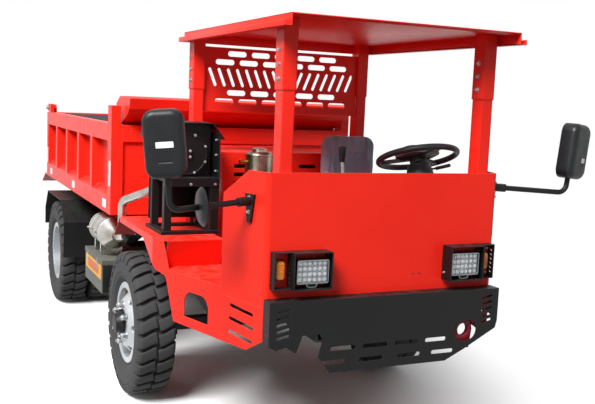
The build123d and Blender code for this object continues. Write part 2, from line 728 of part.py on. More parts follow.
# Front body
def tub():
    """Front panel and upper sides, bent from one plate."""
    rear_x = side_x(TUB_REAR)
    inset = PLATE * math.hypot(1, SIDE_TAPER)
    outer = make_face(Polyline((-rear_x, TUB_REAR), (-PANEL_HALF, 0), (PANEL_HALF, 0), (rear_x, TUB_REAR), close=True))
    outer = fillet(outer.vertices().group_by(Axis.Y)[0], CORNER_RADIUS)
    inner_front = PANEL_HALF + SIDE_TAPER * PLATE - inset
    inner_rear = side_x(TUB_REAR + 10) - inset
    inner = make_face(Polyline((-inner_rear, TUB_REAR + 10), (-inner_front, PLATE), (inner_front, PLATE),
                               (inner_rear, TUB_REAR + 10), close=True))
    inner = fillet(inner.vertices().group_by(Axis.Y)[0], CORNER_RADIUS - PLATE)
    shell = extrude(Pos(0, 0, TUB_BOTTOM) * (outer - inner), amount=TUB_TOP - TUB_BOTTOM)
    above = TUB_TOP + 50
    slope = prism([(TUB_SLOPE_START, TUB_TOP), (TUB_REAR, TUB_SLOPE_END_Z), (TUB_REAR + 50, TUB_SLOPE_END_Z),
                   (TUB_REAR + 50, above), (TUB_SLOPE_START, above)], "X", -rear_x - 10, rear_x + 10)
    return shell - slope


def fenders():
    """Lower side plates with the lightening hole and the slanted slots."""
    arch_end = (TAPER_END, 829.0)
    outline = [(4, 642), (113, FENDER_BOTTOM), (666, FENDER_BOTTOM), (736, 779), (752, 794), (832, 807), arch_end,
               (TAPER_END, DECK_TOP - PLATE), (768, DECK_TOP - PLATE), (715, FLOOR_TOP), (TUB_REAR, FLOOR_TOP),
               (TUB_REAR, TUB_BOTTOM), (4, TUB_BOTTOM)]
    plate = side_plate(outline)
    hole = Pos(0, -32) * Rectangle(200, 64) + Pos(0, 0) * RectangleRounded(200, 128, 60)
    plate -= side_cutter(hole, 485, 688)
    for station, z, length in ((150, 751, 170), (150, 690, 180), (155, 629, 180)):
        plate -= side_cutter(Rot(0, 0, 5) * SlotOverall(length, 17), station, z)
    return at_both(plate)


def decks():
    """Wheel covers behind the step: riser, deck, inner wall, outer flange and rear mud plate."""
    width_head = side_x(RISER_HEAD) - PLATE
    out = side_x(TAPER_END)
    plan = [(DECK_INNER, RISER_HEAD), (width_head, RISER_HEAD), (out - PLATE, TAPER_END), (out, TAPER_END),
            (out, DECK_REAR), (DECK_INNER, DECK_REAR)]
    deck = prism(plan, "Z", DECK_TOP - PLATE, DECK_TOP)
    riser = prism([(RISER_HEAD, DECK_TOP - PLATE), (RISER_HEAD + PLATE, DECK_TOP - PLATE),
                   (RISER_FOOT + PLATE, FLOOR_TOP), (RISER_FOOT, FLOOR_TOP)], "X", DECK_INNER, width_head)
    wall = prism([(RISER_FOOT, FLOOR_TOP), (DECK_REAR, FLOOR_TOP), (DECK_REAR, DECK_TOP - PLATE),
                  (RISER_HEAD, DECK_TOP - PLATE)], "X", DECK_INNER, DECK_INNER + PLATE)
    start = TAPER_END + PLATE * SIDE_TAPER
    flange = prism([(start, 830), (1062, 938), (DECK_REAR, 938), (DECK_REAR, DECK_TOP), (start, DECK_TOP)],
                   "X", out - PLATE, out)
    mud = prism([(DECK_REAR - PLATE, DECK_TOP), (DECK_REAR, DECK_TOP), (MUD_PLATE_REAR, MUD_PLATE_BOTTOM),
                 (MUD_PLATE_REAR - PLATE, MUD_PLATE_BOTTOM)], "X", DECK_INNER, out)
    return at_both(deck + riser + wall + flange + mud)


def cab_floor():
    """Floor plate between the sides, on pads along the rails, open under the engine hood."""
    skin = PLATE * math.hypot(1, SIDE_TAPER)
    front = PLATE
    foot_x = side_x(RISER_FOOT) - skin
    edge = DECK_INNER + PLATE
    plan = [(side_x(front) - skin - CORNER_RADIUS, front), (side_x(CORNER_RADIUS) - skin, CORNER_RADIUS + front),
            (foot_x, RISER_FOOT), (edge, RISER_FOOT), (edge, FLOOR_REAR)]
    plan += [(-x, y) for x, y in reversed(plan)]
    floor = prism(plan, "Z", FLOOR_TOP - PLATE, FLOOR_TOP)
    floor -= block(HOOD_RIGHT + 20, HOOD_LEFT - 20, HOOD_FRONT + 20, HOOD_REAR - 20,
                   FLOOR_TOP - 2 * PLATE, FLOOR_TOP + PLATE)
    for station in (40, 620, 1040):
        pad = block(RAIL_OUT - RAIL_FLANGE, RAIL_OUT, station, station + 80, RAIL_TOP, FLOOR_TOP - PLATE)
        floor += at_both(pad)
    return floor


def bumper():
    """Bent bumper plate with its stepped lower edge, slots and tow opening."""
    outline = [(-BUMPER_HALF + inset, BUMPER_LOW + rise) for inset, rise in BUMPER_RIGHT_EDGE]
    outline += [(BUMPER_HALF - inset, BUMPER_LOW + rise) for inset, rise in BUMPER_LEFT_EDGE]
    outline += [(BUMPER_HALF, BUMPER_TOP), (-BUMPER_HALF, BUMPER_TOP)]
    back = BUMPER_FACE + BUMPER_PLATE
    corner_z = BUMPER_LOW + BUMPER_LEFT_EDGE[-1][1]
    face = prism(outline, "Y", BUMPER_FACE, back)
    face += block(-BUMPER_HALF, BUMPER_HALF, BUMPER_FACE, 0, BUMPER_TOP - BUMPER_PLATE, BUMPER_TOP)
    face += at_both(prism([(BUMPER_FACE, corner_z), (0, corner_z + 25), (0, BUMPER_TOP), (BUMPER_FACE, BUMPER_TOP)],
                          "X", BUMPER_HALF - BUMPER_PLATE, BUMPER_HALF))
    middle = (BUMPER_FACE + back) / 2
    for rise, row in BUMPER_SLOT_ROWS:
        for start, length in row:
            x = -BUMPER_HALF + start + length / 2
            face -= Pos(x, middle, BUMPER_LOW + rise) * slot(length, BUMPER_SLOT, 2 * BUMPER_PLATE)
    face -= Pos(TOW_X, middle, TOW_Z) * slot(TOW_OPENING_LENGTH, TOW_OPENING_HEIGHT, 2 * BUMPER_PLATE)
    for i in range(VENT_SLOTS):
        z = BUMPER_LOW + VENT_LOWEST + VENT_PITCH * i
        for side in (-1, 1):
            vent = Rot(0, -VENT_LEAN, 0) * slot(VENT_LENGTH, VENT_WIDTH, 2 * BUMPER_PLATE)
            face -= Pos(side * (BUMPER_HALF - VENT_INSET), middle, z) * vent
    return face


def tow_hook():
    """Tow eye plate behind the bumper's opening, on a gusset from the left rail."""
    front = BUMPER_FACE + BUMPER_PLATE + TOW_SETBACK
    inner, outer = TOW_X - TOW_PLATE_IN, TOW_X + TOW_PLATE_OUT
    low, high = TOW_Z - TOW_PLATE_DOWN, TOW_Z + TOW_PLATE_UP
    plate = prism([(inner, low), (outer, low), (TOW_X + TOW_NOSE, TOW_Z), (outer, high), (inner, high)],
                  "Y", front, front + TOW_PLATE)
    gusset = block(RAIL_OUT, RAIL_OUT + TOW_GUSSET, front, TOW_GUSSET_REAR, RAIL_BOTTOM + RAIL_WALL,
                   high + TOW_GUSSET)
    bore = rod((TOW_X, front - 1, TOW_Z), (TOW_X, front + TOW_PLATE + 1, TOW_Z), TOW_BORE_RADIUS)
    return plate + gusset - bore


# Lamps
def lamp_slots(x, depth):
    """Slanted slots through an upright wall of the lamp box."""
    cutter = extrude(Plane.YZ * SlotOverall(LAMP_SLOT_LENGTH, LAMP_SLOT_WIDTH), amount=LAMP_SHEET, both=True)
    lowest = (LAMP_BOTTOM + LAMP_TOP - LAMP_SLOT_PITCH * (LAMP_SLOTS - 1)) / 2
    row = Part()
    for i in range(LAMP_SLOTS):
        row += Pos(x, -depth / 2, lowest + LAMP_SLOT_PITCH * i) * Rot(LAMP_SLOT_LEAN, 0, 0) * cutter
    return row


def lamp_boxes():
    """Open sheet box on each side of the panel: deep bay for the LED lamp, shallow bay for the marker."""
    bay = block(LAMP_IN, LAMP_DIVIDER, -LAMP_DEPTH, 0, LAMP_BOTTOM, LAMP_TOP)
    bay -= block(LAMP_IN + LAMP_SHEET, LAMP_DIVIDER - LAMP_SHEET, -LAMP_DEPTH, 0, LAMP_BOTTOM + LAMP_SHEET,
                 LAMP_TOP - LAMP_SHEET)
    outer = block(LAMP_DIVIDER - LAMP_SHEET, LAMP_OUT, -MARKER_BOX_DEPTH, 0, LAMP_BOTTOM, LAMP_TOP)
    outer -= block(LAMP_DIVIDER - LAMP_SHEET, LAMP_OUT - LAMP_SHEET, -MARKER_BOX_DEPTH, 0,
                   LAMP_BOTTOM + LAMP_SHEET, LAMP_TOP - LAMP_SHEET)
    box = bay + outer - lamp_slots(LAMP_OUT - LAMP_SHEET / 2, MARKER_BOX_DEPTH)
    box -= lamp_slots(LAMP_DIVIDER - LAMP_SHEET / 2, MARKER_BOX_DEPTH)
    front = LED_SETBACK - LAMP_DEPTH
    wide, tall = LED_WIDTH / 2 + LED_BEZEL, LED_HEIGHT / 2 + LED_BEZEL
    lamp = block(LED_X - wide, LED_X + wide, front, front + LED_BODY, LED_Z - tall, LED_Z + tall)
    lamp = fillet(lamp.edges().filter_by(Axis.Y), LED_BEZEL)
    lamp -= block(LED_X - LED_WIDTH / 2, LED_X + LED_WIDTH / 2, front, front + LED_LENS,
                  LED_Z - LED_HEIGHT / 2, LED_Z + LED_HEIGHT / 2)
    foot = block(LED_X - LED_FOOT / 2, LED_X + LED_FOOT / 2, front + LED_LENS, front + LED_BODY,
                 LAMP_BOTTOM, LED_Z - tall)
    return at_both(box + lamp + foot)


def lamp_faces():
    """LED lens with a grid of square cells."""
    front = LED_SETBACK - LAMP_DEPTH + LED_CELL_GAP
    back = LED_SETBACK - LAMP_DEPTH + LED_LENS
    face = block(LED_X - LED_WIDTH / 2, LED_X + LED_WIDTH / 2, front, back,
                 LED_Z - LED_HEIGHT / 2, LED_Z + LED_HEIGHT / 2)
    wide, tall = LED_WIDTH / LED_COLUMNS, LED_HEIGHT / LED_ROWS
    cell = Box(wide - LED_CELL_GAP, 2 * LED_CELL_DEPTH, tall - LED_CELL_GAP)
    for i in range(LED_COLUMNS):
        for k in range(LED_ROWS):
            x = LED_X + wide * (i - (LED_COLUMNS - 1) / 2)
            z = LED_Z + tall * (k - (LED_ROWS - 1) / 2)
            face -= Pos(x, front, z) * cell
    return at_both(face)


def marker_lamps():
    lens = block(MARKER_X - MARKER_WIDTH / 2, MARKER_X + MARKER_WIDTH / 2, -MARKER_DEPTH, 0,
                 MARKER_Z - MARKER_HEIGHT / 2, MARKER_Z + MARKER_HEIGHT / 2)
    lens = fillet(lens.edges().filter_by(Axis.Y), MARKER_WIDTH / 3)
    return at_both(fillet(lens.faces().sort_by(Axis.Y)[0].edges(), MARKER_WIDTH / 6))


def tail_lamps():
    """Rear lamp unit on a bracket plate from each rail's end."""
    face = FRAME_REAR - TAIL_BRACKET_SETBACK
    rear = face + TAIL_BRACKET
    lamp = block(TAIL_LAMP_IN, TAIL_LAMP_OUT, rear, rear + TAIL_LAMP_DEPTH, TAIL_LAMP_BOTTOM, TAIL_LAMP_TOP)
    return at_both(fillet(lamp.edges().filter_by(Axis.Y), 2 * TAIL_BRACKET))


def tail_brackets():
    """Plate from each hinge ear out to its rear lamp."""
    face = FRAME_REAR - TAIL_BRACKET_SETBACK
    inner = RAIL_OUT + EAR_THICK
    return at_both(prism([(inner, RAIL_TOP), (inner, TAIL_BRACKET_FOOT), (TAIL_LAMP_IN, TAIL_LAMP_BOTTOM),
                          (TAIL_LAMP_OUT, TAIL_LAMP_BOTTOM), (TAIL_LAMP_OUT, TAIL_LAMP_TOP),
                          (TAIL_LAMP_IN, RAIL_TOP)], "Y", face, face + TAIL_BRACKET))


# Canopy
def canopy_posts():
    """Lower post with the wider sleeve that slides over its head."""
    x0 = POST_OUT - POST_WIDTH
    sleeve_bottom = ROOF_TOP - PLATE - SLEEVE_LENGTH
    pair = Part()
    for station, foot in ((FRONT_POST_STATION, FLOOR_TOP), (REAR_POST_STATION, DECK_TOP)):
        pair += block(x0, POST_OUT, station, station + POST_DEPTH, foot, sleeve_bottom + SLEEVE_LAP)
        pair += block(x0 - SLEEVE_WALL, POST_OUT + SLEEVE_WALL, station - SLEEVE_WALL / 2,
                      station + POST_DEPTH + SLEEVE_WALL, sleeve_bottom, ROOF_TOP - PLATE)
    return at_both(pair)


def roof():
    """Folded roof tray with skirts all round and a drip gutter along each side."""
    eave = ROOF_TOP - ROOF_SKIRT
    tray = block(-ROOF_HALF, ROOF_HALF, -ROOF_OVERHANG, ROOF_REAR, eave, ROOF_TOP)
    tray -= block(-ROOF_HALF + PLATE, ROOF_HALF - PLATE, -ROOF_OVERHANG + PLATE, ROOF_REAR - PLATE,
                  eave, ROOF_TOP - PLATE)
    edge = ROOF_HALF + GUTTER_WIDTH
    gutter = block(ROOF_HALF, edge, -ROOF_OVERHANG, ROOF_REAR, eave, eave + GUTTER_SHEET)
    gutter += block(edge - GUTTER_SHEET, edge, -ROOF_OVERHANG, ROOF_REAR, eave, eave + GUTTER_LIP)
    return tray + at_both(gutter)


def rear_screen():
    """Perforated guard between the rear posts."""
    half = POST_OUT - POST_WIDTH - SLEEVE_WALL
    top = ROOF_TOP - SCREEN_DROP
    y0 = REAR_POST_STATION + 20
    screen = block(-half, half, y0, y0 + PLATE, top - SCREEN_HEIGHT, top)
    middle = y0 + PLATE / 2
    for depth, shift in SCREEN_ROWS:
        for i in range(-3, 4):
            x = i * SCREEN_SLOT_PITCH + shift
            if abs(x) + SCREEN_SLOT_LENGTH / 2 < half:
                screen -= Pos(x, middle, top - depth) * slot(SCREEN_SLOT_LENGTH, SCREEN_SLOT_WIDTH, 2 * PLATE)
    for i in range(CHEVRON_SLOTS):
        x = CHEVRON_START + CHEVRON_PITCH * i
        for side in (-1, 1):
            chevron = Rot(0, -side * CHEVRON_LEAN, 0) * slot(CHEVRON_LENGTH, CHEVRON_WIDTH, 2 * PLATE)
            screen -= Pos(side * x, middle, top - CHEVRON_DEPTH) * chevron
    return screen


# Radiator rack, engine and driver's place
def radiator_rack():
    """Open rack on the right deck: base frame, four posts, shelf with its apron, and the inner side panel."""
    x0, x1 = -RACK_OUT, -RACK_IN
    base_top = DECK_TOP + RACK_BASE
    rack = block(x0, x1, RACK_FRONT, RACK_REAR, DECK_TOP, base_top)
    rack -= block(x0 + RACK_POST, x1 - RACK_POST, RACK_FRONT + RACK_POST, RACK_REAR - RACK_POST,
                  DECK_TOP, base_top)
    front, rear = RACK_FRONT + RACK_BASE, RACK_REAR - RACK_BASE
    for x in (x0 + RACK_BASE, x1 - RACK_SHEET - RACK_POST):
        for y in (front, rear - RACK_POST):
            rack += block(x, x + RACK_POST, y, y + RACK_POST, DECK_TOP, RACK_SHELF)
    shelf_top = RACK_SHELF + RACK_SHELF_THICK
    rack += block(x0 + RACK_BASE, x1, front, rear, RACK_SHELF, shelf_top)
    rack += block(x0 + RACK_BASE, x1, front - RACK_SHEET, front, RACK_SHELF - RACK_APRON, shelf_top)
    return rack + block(x1 - RACK_SHEET, x1, front, rear, DECK_TOP, RACK_PANEL_TOP)


def radiator():
    """Radiator core on the shelf, with the round fan cover in front and the folded cowl over it."""
    x0, x1 = -RACK_OUT + CORE_INSET, -RACK_IN - CORE_INSET
    bottom = RACK_SHELF + RACK_SHELF_THICK
    core = block(x0, x1, CORE_FRONT, CORE_REAR, bottom, RACK_TOP - RACK_SHEET)
    x, z = (x0 + x1) / 2, bottom + SHROUD_RADIUS + SHROUD_WALL
    front = CORE_FRONT - SHROUD_DEPTH
    core += rod((x, front, z), (x, CORE_FRONT, z), SHROUD_RADIUS)
    core -= rod((x, front, z), (x, front + SHROUD_RECESS, z), SHROUD_RADIUS - SHROUD_WALL)
    core += rod((x, front, z), (x, CORE_FRONT, z), SHROUD_BOSS)
    fold = [(-COWL_OUT, COWL_EAVE), (-COWL_BEND_OUT, RACK_TOP), (-COWL_BEND_IN, RACK_TOP), (-COWL_IN, COWL_EAVE)]
    return core + prism(fold + list(reversed(shifted(fold, RACK_SHEET))), "Y", COWL_FRONT, RACK_REAR)


def engine_hood():
    """Sheet hood over the engine, open below, with louvre slots in front."""
    hood = block(HOOD_RIGHT, HOOD_LEFT, HOOD_FRONT, HOOD_REAR, FLOOR_TOP, HOOD_TOP)
    hood -= block(HOOD_RIGHT + PLATE, HOOD_LEFT - PLATE, HOOD_FRONT + PLATE, HOOD_REAR - PLATE,
                  FLOOR_TOP, HOOD_TOP - PLATE)
    louvre = slot(LOUVRE_LENGTH, LOUVRE_WIDTH, 2 * PLATE)
    for i in range(LOUVRE_COLUMNS):
        for k in range(LOUVRE_ROWS):
            x = HOOD_RIGHT + LOUVRE_INSET + LOUVRE_COLUMN_PITCH * i
            z = HOOD_TOP - LOUVRE_DROP - LOUVRE_ROW_PITCH * k
            hood -= Pos(x, HOOD_FRONT + PLATE / 2, z) * louvre
    return hood


def engine():
    """Engine and gearbox as one block, on feet over the rails."""
    block_x = (HOOD_RIGHT + 120, HOOD_LEFT - 100)
    mass = block(block_x[0], block_x[1], HOOD_FRONT + 60, HOOD_REAR - 50, ENGINE_BOTTOM, ENGINE_TOP)
    mass += rod((0, HOOD_REAR - 50, GEARBOX_Z), (0, HOOD_REAR + GEARBOX_LENGTH, GEARBOX_Z), GEARBOX_RADIUS)
    inner = RAIL_OUT - RAIL_FLANGE
    for x0, x1 in ((-inner - 30, block_x[0] + 5), (block_x[1] - 5, inner + 30)):
        for y in (HOOD_FRONT + 110, HOOD_REAR - 150):
            mass += block(x0, x1, y, y + 60, RAIL_TOP, RAIL_TOP + 30)
    return mass


def drive_shaft():
    """Propeller shaft from the gearbox to the rear axle's nose, with its joint cups."""
    start = HOOD_REAR + GEARBOX_LENGTH
    end = REAR_AXLE_STATION - DIFF_RADIUS - DIFF_NOSE
    shaft = rod((0, start, GEARBOX_Z), (0, start + 60, GEARBOX_Z), 45)
    shaft += rod((0, start + 50, GEARBOX_Z), (0, end - 50, TYRE_RADIUS), 30)
    return shaft + rod((0, end - 60, TYRE_RADIUS), (0, end, TYRE_RADIUS), 45)


def oil_tank():
    """Steel oil reservoir with its filler cap, on a bracket from the hood."""
    x, y = OIL_TANK_X, OIL_TANK_STATION
    bottom = OIL_TANK_TOP - OIL_TANK_HEIGHT
    lid = OIL_TANK_TOP + OIL_TANK_LID
    can = rod((x, y, bottom), (x, y, OIL_TANK_TOP), OIL_TANK_RADIUS)
    can += rod((x, y, OIL_TANK_TOP), (x, y, lid), OIL_TANK_RADIUS * 0.72)
    can += rod((x, y, lid), (x, y, lid + OIL_TANK_CAP), OIL_TANK_RADIUS / 2)
    low = bottom + OIL_BRACKET_RISE
    return can + block(x - OIL_BRACKET_HALF, x + OIL_BRACKET_HALF, y, HOOD_FRONT, low, low + OIL_BRACKET_HEIGHT)


def seat_base():
    half = SEAT_WIDTH / 2 - 25
    base = block(SEAT_X - half, SEAT_X + half, SEAT_FRONT + 40, SEAT_BACK - 60, FLOOR_TOP, CUSHION_BOTTOM)
    return base + block(SEAT_X - half + 20, SEAT_X + half - 20, SEAT_BACK - 18, SEAT_BACK, FLOOR_TOP,
                        BACKREST_TOP - 110) + block(SEAT_X - half + 20, SEAT_X + half - 20, SEAT_BACK - 70,
                                                    SEAT_BACK - 10, FLOOR_TOP, FLOOR_TOP + 40)


def seat_cushion():
    half = SEAT_WIDTH / 2
    pad = block(SEAT_X - half, SEAT_X + half, SEAT_FRONT, SEAT_BACK - 20, CUSHION_BOTTOM + RUN_GAP, CUSHION_TOP)
    return fillet(pad.edges().filter_by(Axis.Z), 30)


def seat_back():
    half = SEAT_WIDTH / 2
    pad = block(SEAT_X - half, SEAT_X + half, SEAT_BACK - 110, SEAT_BACK - 18 - RUN_GAP, CUSHION_TOP + 2,
                BACKREST_TOP)
    return fillet(pad.edges().filter_by(Axis.Y).group_by(Axis.Z)[-1], 70)


def column_plane(along):
    """Plane across the steering column, a distance below the steering wheel's centre."""
    lean = math.radians(COLUMN_TILT)
    axis = Vector(0, math.sin(lean), math.cos(lean))
    return Plane(origin=Vector(STEER_WHEEL_X, STEER_WHEEL_STATION, STEER_WHEEL_Z) - axis * along,
                 x_dir=(1, 0, 0), z_dir=axis)


def steering_column():
    """Column from the floor to the wheel's shaft, with the instrument pod."""
    reach = 680.0
    column = extrude(column_plane(reach) * Circle(COLUMN_RADIUS), amount=reach - 34)
    column -= extrude(column_plane(90) * Circle(12 + RUN_GAP), amount=90)
    pod = extrude(column_plane(190) * Pos(0, 50) * RectangleRounded(230, 90, 20), amount=110)
    below = block(STEER_WHEEL_X - 100, STEER_WHEEL_X + 100, -50, STEER_WHEEL_STATION, FLOOR_TOP - 300, FLOOR_TOP)
    return column + pod - extrude(column_plane(90) * Circle(12 + RUN_GAP), amount=90) - below


def steering_wheel():
    """Rim, spokes, pad and shaft about the column's axis."""
    flat = column_plane(0)
    wheel = flat * Torus(STEER_WHEEL_RADIUS, STEER_RIM_RADIUS)
    wheel += extrude(column_plane(26) * Circle(42), amount=30)
    for turn in (30, 150, 270):
        spoke = Rot(0, 0, turn) * Pos(STEER_WHEEL_RADIUS / 2, 0) * Rectangle(STEER_WHEEL_RADIUS, 34)
        wheel += extrude(column_plane(12) * spoke, amount=14)
    return wheel + extrude(column_plane(80) * Circle(12), amount=70)


def gear_lever():
    """Gear lever in its floor boot: thin rod and a knob that widens to its top."""
    foot = (GEAR_FOOT_X, GEAR_FOOT_STATION, FLOOR_TOP)
    neck = (KNOB_X, KNOB_STATION, KNOB_BOTTOM)
    boot = rod(foot, (GEAR_FOOT_X, GEAR_FOOT_STATION, FLOOR_TOP + GEAR_BOOT_HEIGHT), GEAR_BOOT_RADIUS)
    lever = rod((GEAR_FOOT_X, GEAR_FOOT_STATION, FLOOR_TOP + GEAR_BOOT_HEIGHT / 2), neck, GEAR_ROD_RADIUS)
    knob = Cone(KNOB_NECK_RADIUS, KNOB_TOP_RADIUS, KNOB_HEIGHT, align=(Align.CENTER, Align.CENTER, Align.MIN))
    knob = fillet(knob.edges().sort_by(Axis.Z)[-1], KNOB_EDGE)
    return boot + lever + Pos(*neck) * knob


# Side equipment
def purifier():
    """Exhaust purifier drum with its cone, clamp ring and legs on the battery box."""
    x, z = PURIFIER_X, PURIFIER_Z
    face = make_face(Polyline((0, PURIFIER_FRONT), (34, PURIFIER_FRONT), (40, PURIFIER_FRONT + 15),
                              (PURIFIER_RADIUS, PURIFIER_FRONT + 95), (PURIFIER_RADIUS + 6, PURIFIER_FRONT + 98),
                              (PURIFIER_RADIUS + 6, PURIFIER_FRONT + 120), (PURIFIER_RADIUS, PURIFIER_FRONT + 122),
                              (PURIFIER_RADIUS, PURIFIER_REAR), (55, PURIFIER_REAR + 20), (55, PURIFIER_REAR + 80),
                              (0, PURIFIER_REAR + 80), close=True))
    drum = Pos(x, 0, z) * revolve(face, Axis.Y)
    for y in (PURIFIER_FRONT + 160, PURIFIER_REAR - 80):
        drum += block(x - 70, x + 70, y, y + 30, BOX_TOP, z)
    return drum


def exhaust_pipe():
    """Pipe from the hood's right side, down and into the purifier's cone."""
    exit_station = HOOD_REAR - PIPE_EXIT_SETBACK
    drop = PURIFIER_FRONT - PIPE_LEAD
    points = [(HOOD_RIGHT, exit_station, PIPE_EXIT_Z), (PIPE_RUN_X, exit_station, PIPE_EXIT_Z),
              (PURIFIER_X, drop, PIPE_DROP_Z), (PURIFIER_X, drop, PURIFIER_Z),
              (PURIFIER_X, PURIFIER_FRONT, PURIFIER_Z)]
    return bent_tube(points, PIPE_BEND, PIPE_RADIUS)


def battery_box():
    """Sheet box on two brackets, with a lapped lid."""
    box = block(-BOX_OUT, -BOX_IN, BOX_FRONT, BOX_REAR, BOX_BOTTOM, BOX_TOP)
    box = fillet(box.edges().filter_by(Axis.Y), BOX_CORNER)
    lap = BOX_LID_LAP
    box += block(-BOX_OUT - lap, -BOX_IN + lap, BOX_FRONT - lap, BOX_REAR + lap, BOX_TOP - BOX_LID, BOX_TOP)
    for y in (BOX_FRONT + 70, BOX_REAR - 110):
        box += block(-BOX_IN - 5, -RAIL_OUT, y, y + 40, RAIL_BOTTOM - 60, RAIL_BOTTOM - 10)
        box += block(-RAIL_OUT - 10, -RAIL_OUT, y, y + 40, RAIL_BOTTOM - 60, RAIL_BOTTOM + 60)
    return box


def fuel_tank():
    """Round-cornered tank with two straps, a filler and brackets to the left rail."""
    tank = block(BOX_IN, BOX_OUT, BOX_FRONT, TANK_REAR, BOX_BOTTOM, TANK_TOP)
    tank = fillet(tank.edges().filter_by(Axis.Y), TANK_CORNER)
    tank += rod((BOX_OUT - 90, BOX_FRONT + 110, TANK_TOP), (BOX_OUT - 90, BOX_FRONT + 110, TANK_TOP + 40), 38)
    for y in (BOX_FRONT + 90, TANK_REAR - 130):
        tank += block(RAIL_OUT, BOX_IN + 5, y, y + 40, RAIL_BOTTOM - 40, RAIL_BOTTOM + 20)
    lap = TANK_STRAP
    for y in (BOX_FRONT + 2 * TANK_STRAP_WIDTH + TANK_CORNER + 90, TANK_REAR - 3 * TANK_STRAP_WIDTH):
        strap = block(BOX_IN - lap, BOX_OUT + lap, y, y + TANK_STRAP_WIDTH, BOX_BOTTOM - lap, TANK_TOP + lap)
        tank += fillet(strap.edges().filter_by(Axis.Y), TANK_CORNER + lap)
    return tank


def rear_mudguards():
    """Folded guard over each pair of rear tyres, on a bracket from the rail."""
    y, low = REAR_AXLE_STATION, 430.0
    path = [(y - 480, low), (y - 480, 700), (y - 330, GUARD_TOP), (y + 330, GUARD_TOP), (y + 470, 700), (y + 470, 560)]
    guard = bent_plate(path, PLATE, GUARD_IN, GUARD_OUT)
    for station in (y - 300, y + 240):
        guard += block(RAIL_OUT, GUARD_IN, station, station + 40, RAIL_TOP - 60, RAIL_TOP - 10)
        guard += block(GUARD_IN - 10, GUARD_IN, station, station + 40, RAIL_TOP - 60, GUARD_TOP)
    return at_both(guard)


def mirror_stem(side, start):
    """Corner and head end of an arm's upright, which leans outward with its mirror."""
    lean = math.radians(MIRROR_LEAN)
    corner_z = start[1] - ARM_DROP
    inward = (MIRROR_BOTTOM - corner_z) * math.tan(lean)
    return (side * (MIRROR_STEM_X - inward), 0, corner_z), (side * MIRROR_STEM_X, 0, MIRROR_BOTTOM)


def mirror_arms():
    """Bent tube arms, each in a clamp barrel on a tapered foot plate."""
    arms = Part()
    turn = math.degrees(math.atan(SIDE_TAPER))
    plate = prism([(-FOOT_HALF, FOOT_UP), (FOOT_HALF, FOOT_UP), (FOOT_TIP_HALF, -FOOT_DOWN),
                   (-FOOT_TIP_HALF, -FOOT_DOWN)], "X", 0, MIRROR_ARM_FOOT)
    for side, start in ((-1, RIGHT_ARM_START), (1, LEFT_ARM_START)):
        corner, head = mirror_stem(side, start)
        root = Vector(*arm_point(side, start, MIRROR_ARM_FOOT / 2))
        run = (Vector(*corner) - root).normalized()
        arms += bent_tube([tuple(root), corner, head], ARM_BEND, MIRROR_ARM_RADIUS)
        arms += rod(tuple(root), tuple(root + run * CLAMP_LENGTH), CLAMP_RADIUS)
        foot = plate if side > 0 else mirror(plate, about=Plane.YZ)
        arms += Pos(*arm_point(side, start, 0)) * Rot(0, 0, -side * turn) * foot
    return arms


def arm_point(side, start, out):
    """Point a distance out from the tapered side at an arm's foot."""
    station, z = start
    size = math.hypot(1, SIDE_TAPER)
    return (side * (side_x(station) + out / size), station - out * SIDE_TAPER / size, z)


def mirror_heads():
    """Moulded heads, crowned in front, and the round mirror that the right arm runs through."""
    half = MIRROR_WIDTH / 2
    shell = block(-half, half, -MIRROR_DEPTH / 2, MIRROR_DEPTH / 2, 0, MIRROR_HEIGHT)
    shell = fillet(shell.edges().filter_by(Axis.Y), MIRROR_CORNER)
    shell = fillet(shell.faces().sort_by(Axis.Y)[0].edges(), MIRROR_CROWN)
    shell = Rot(0, 0, MIRROR_YAW) * Pos(0, -MIRROR_STEM_BACK, 0) * shell
    corner, head = mirror_stem(1, LEFT_ARM_START)
    heads = at_both(Pos(*head) * Rot(0, MIRROR_LEAN, 0) * shell)
    start = Vector(*arm_point(-1, RIGHT_ARM_START, MIRROR_ARM_FOOT / 2))
    corner, head = mirror_stem(-1, RIGHT_ARM_START)
    run = (Vector(*corner) - start).normalized()
    centre = Vector(*corner) - run * ROUND_MIRROR_INSET
    round_head = rod(tuple(centre - run * ROUND_MIRROR_HALF), tuple(centre + run * ROUND_MIRROR_HALF),
                     ROUND_MIRROR_RADIUS)
    round_head -= rod(tuple(start), corner, MIRROR_ARM_RADIUS + RUN_GAP)
    return heads + round_head


# Tipping bed
def bed_floor():
    """Floor plate with the tail chute that slopes down behind the gate."""
    top = BED_BAND_BOTTOM + BED_FLOOR_THICK
    half = BED_HALF - BED_WALL
    floor = block(-half, half, BED_FRONT, BED_REAR, BED_BAND_BOTTOM, top)
    chute = prism([(BED_REAR, BED_BAND_BOTTOM), (CHUTE_STATION, BED_BAND_BOTTOM),
                   (TAIL_STATION, BED_BAND_BOTTOM - CHUTE_DROP), (TAIL_STATION, top - CHUTE_DROP),
                   (CHUTE_STATION, top), (BED_REAR, top)], "X", -BED_HALF, BED_HALF)
    return floor + chute


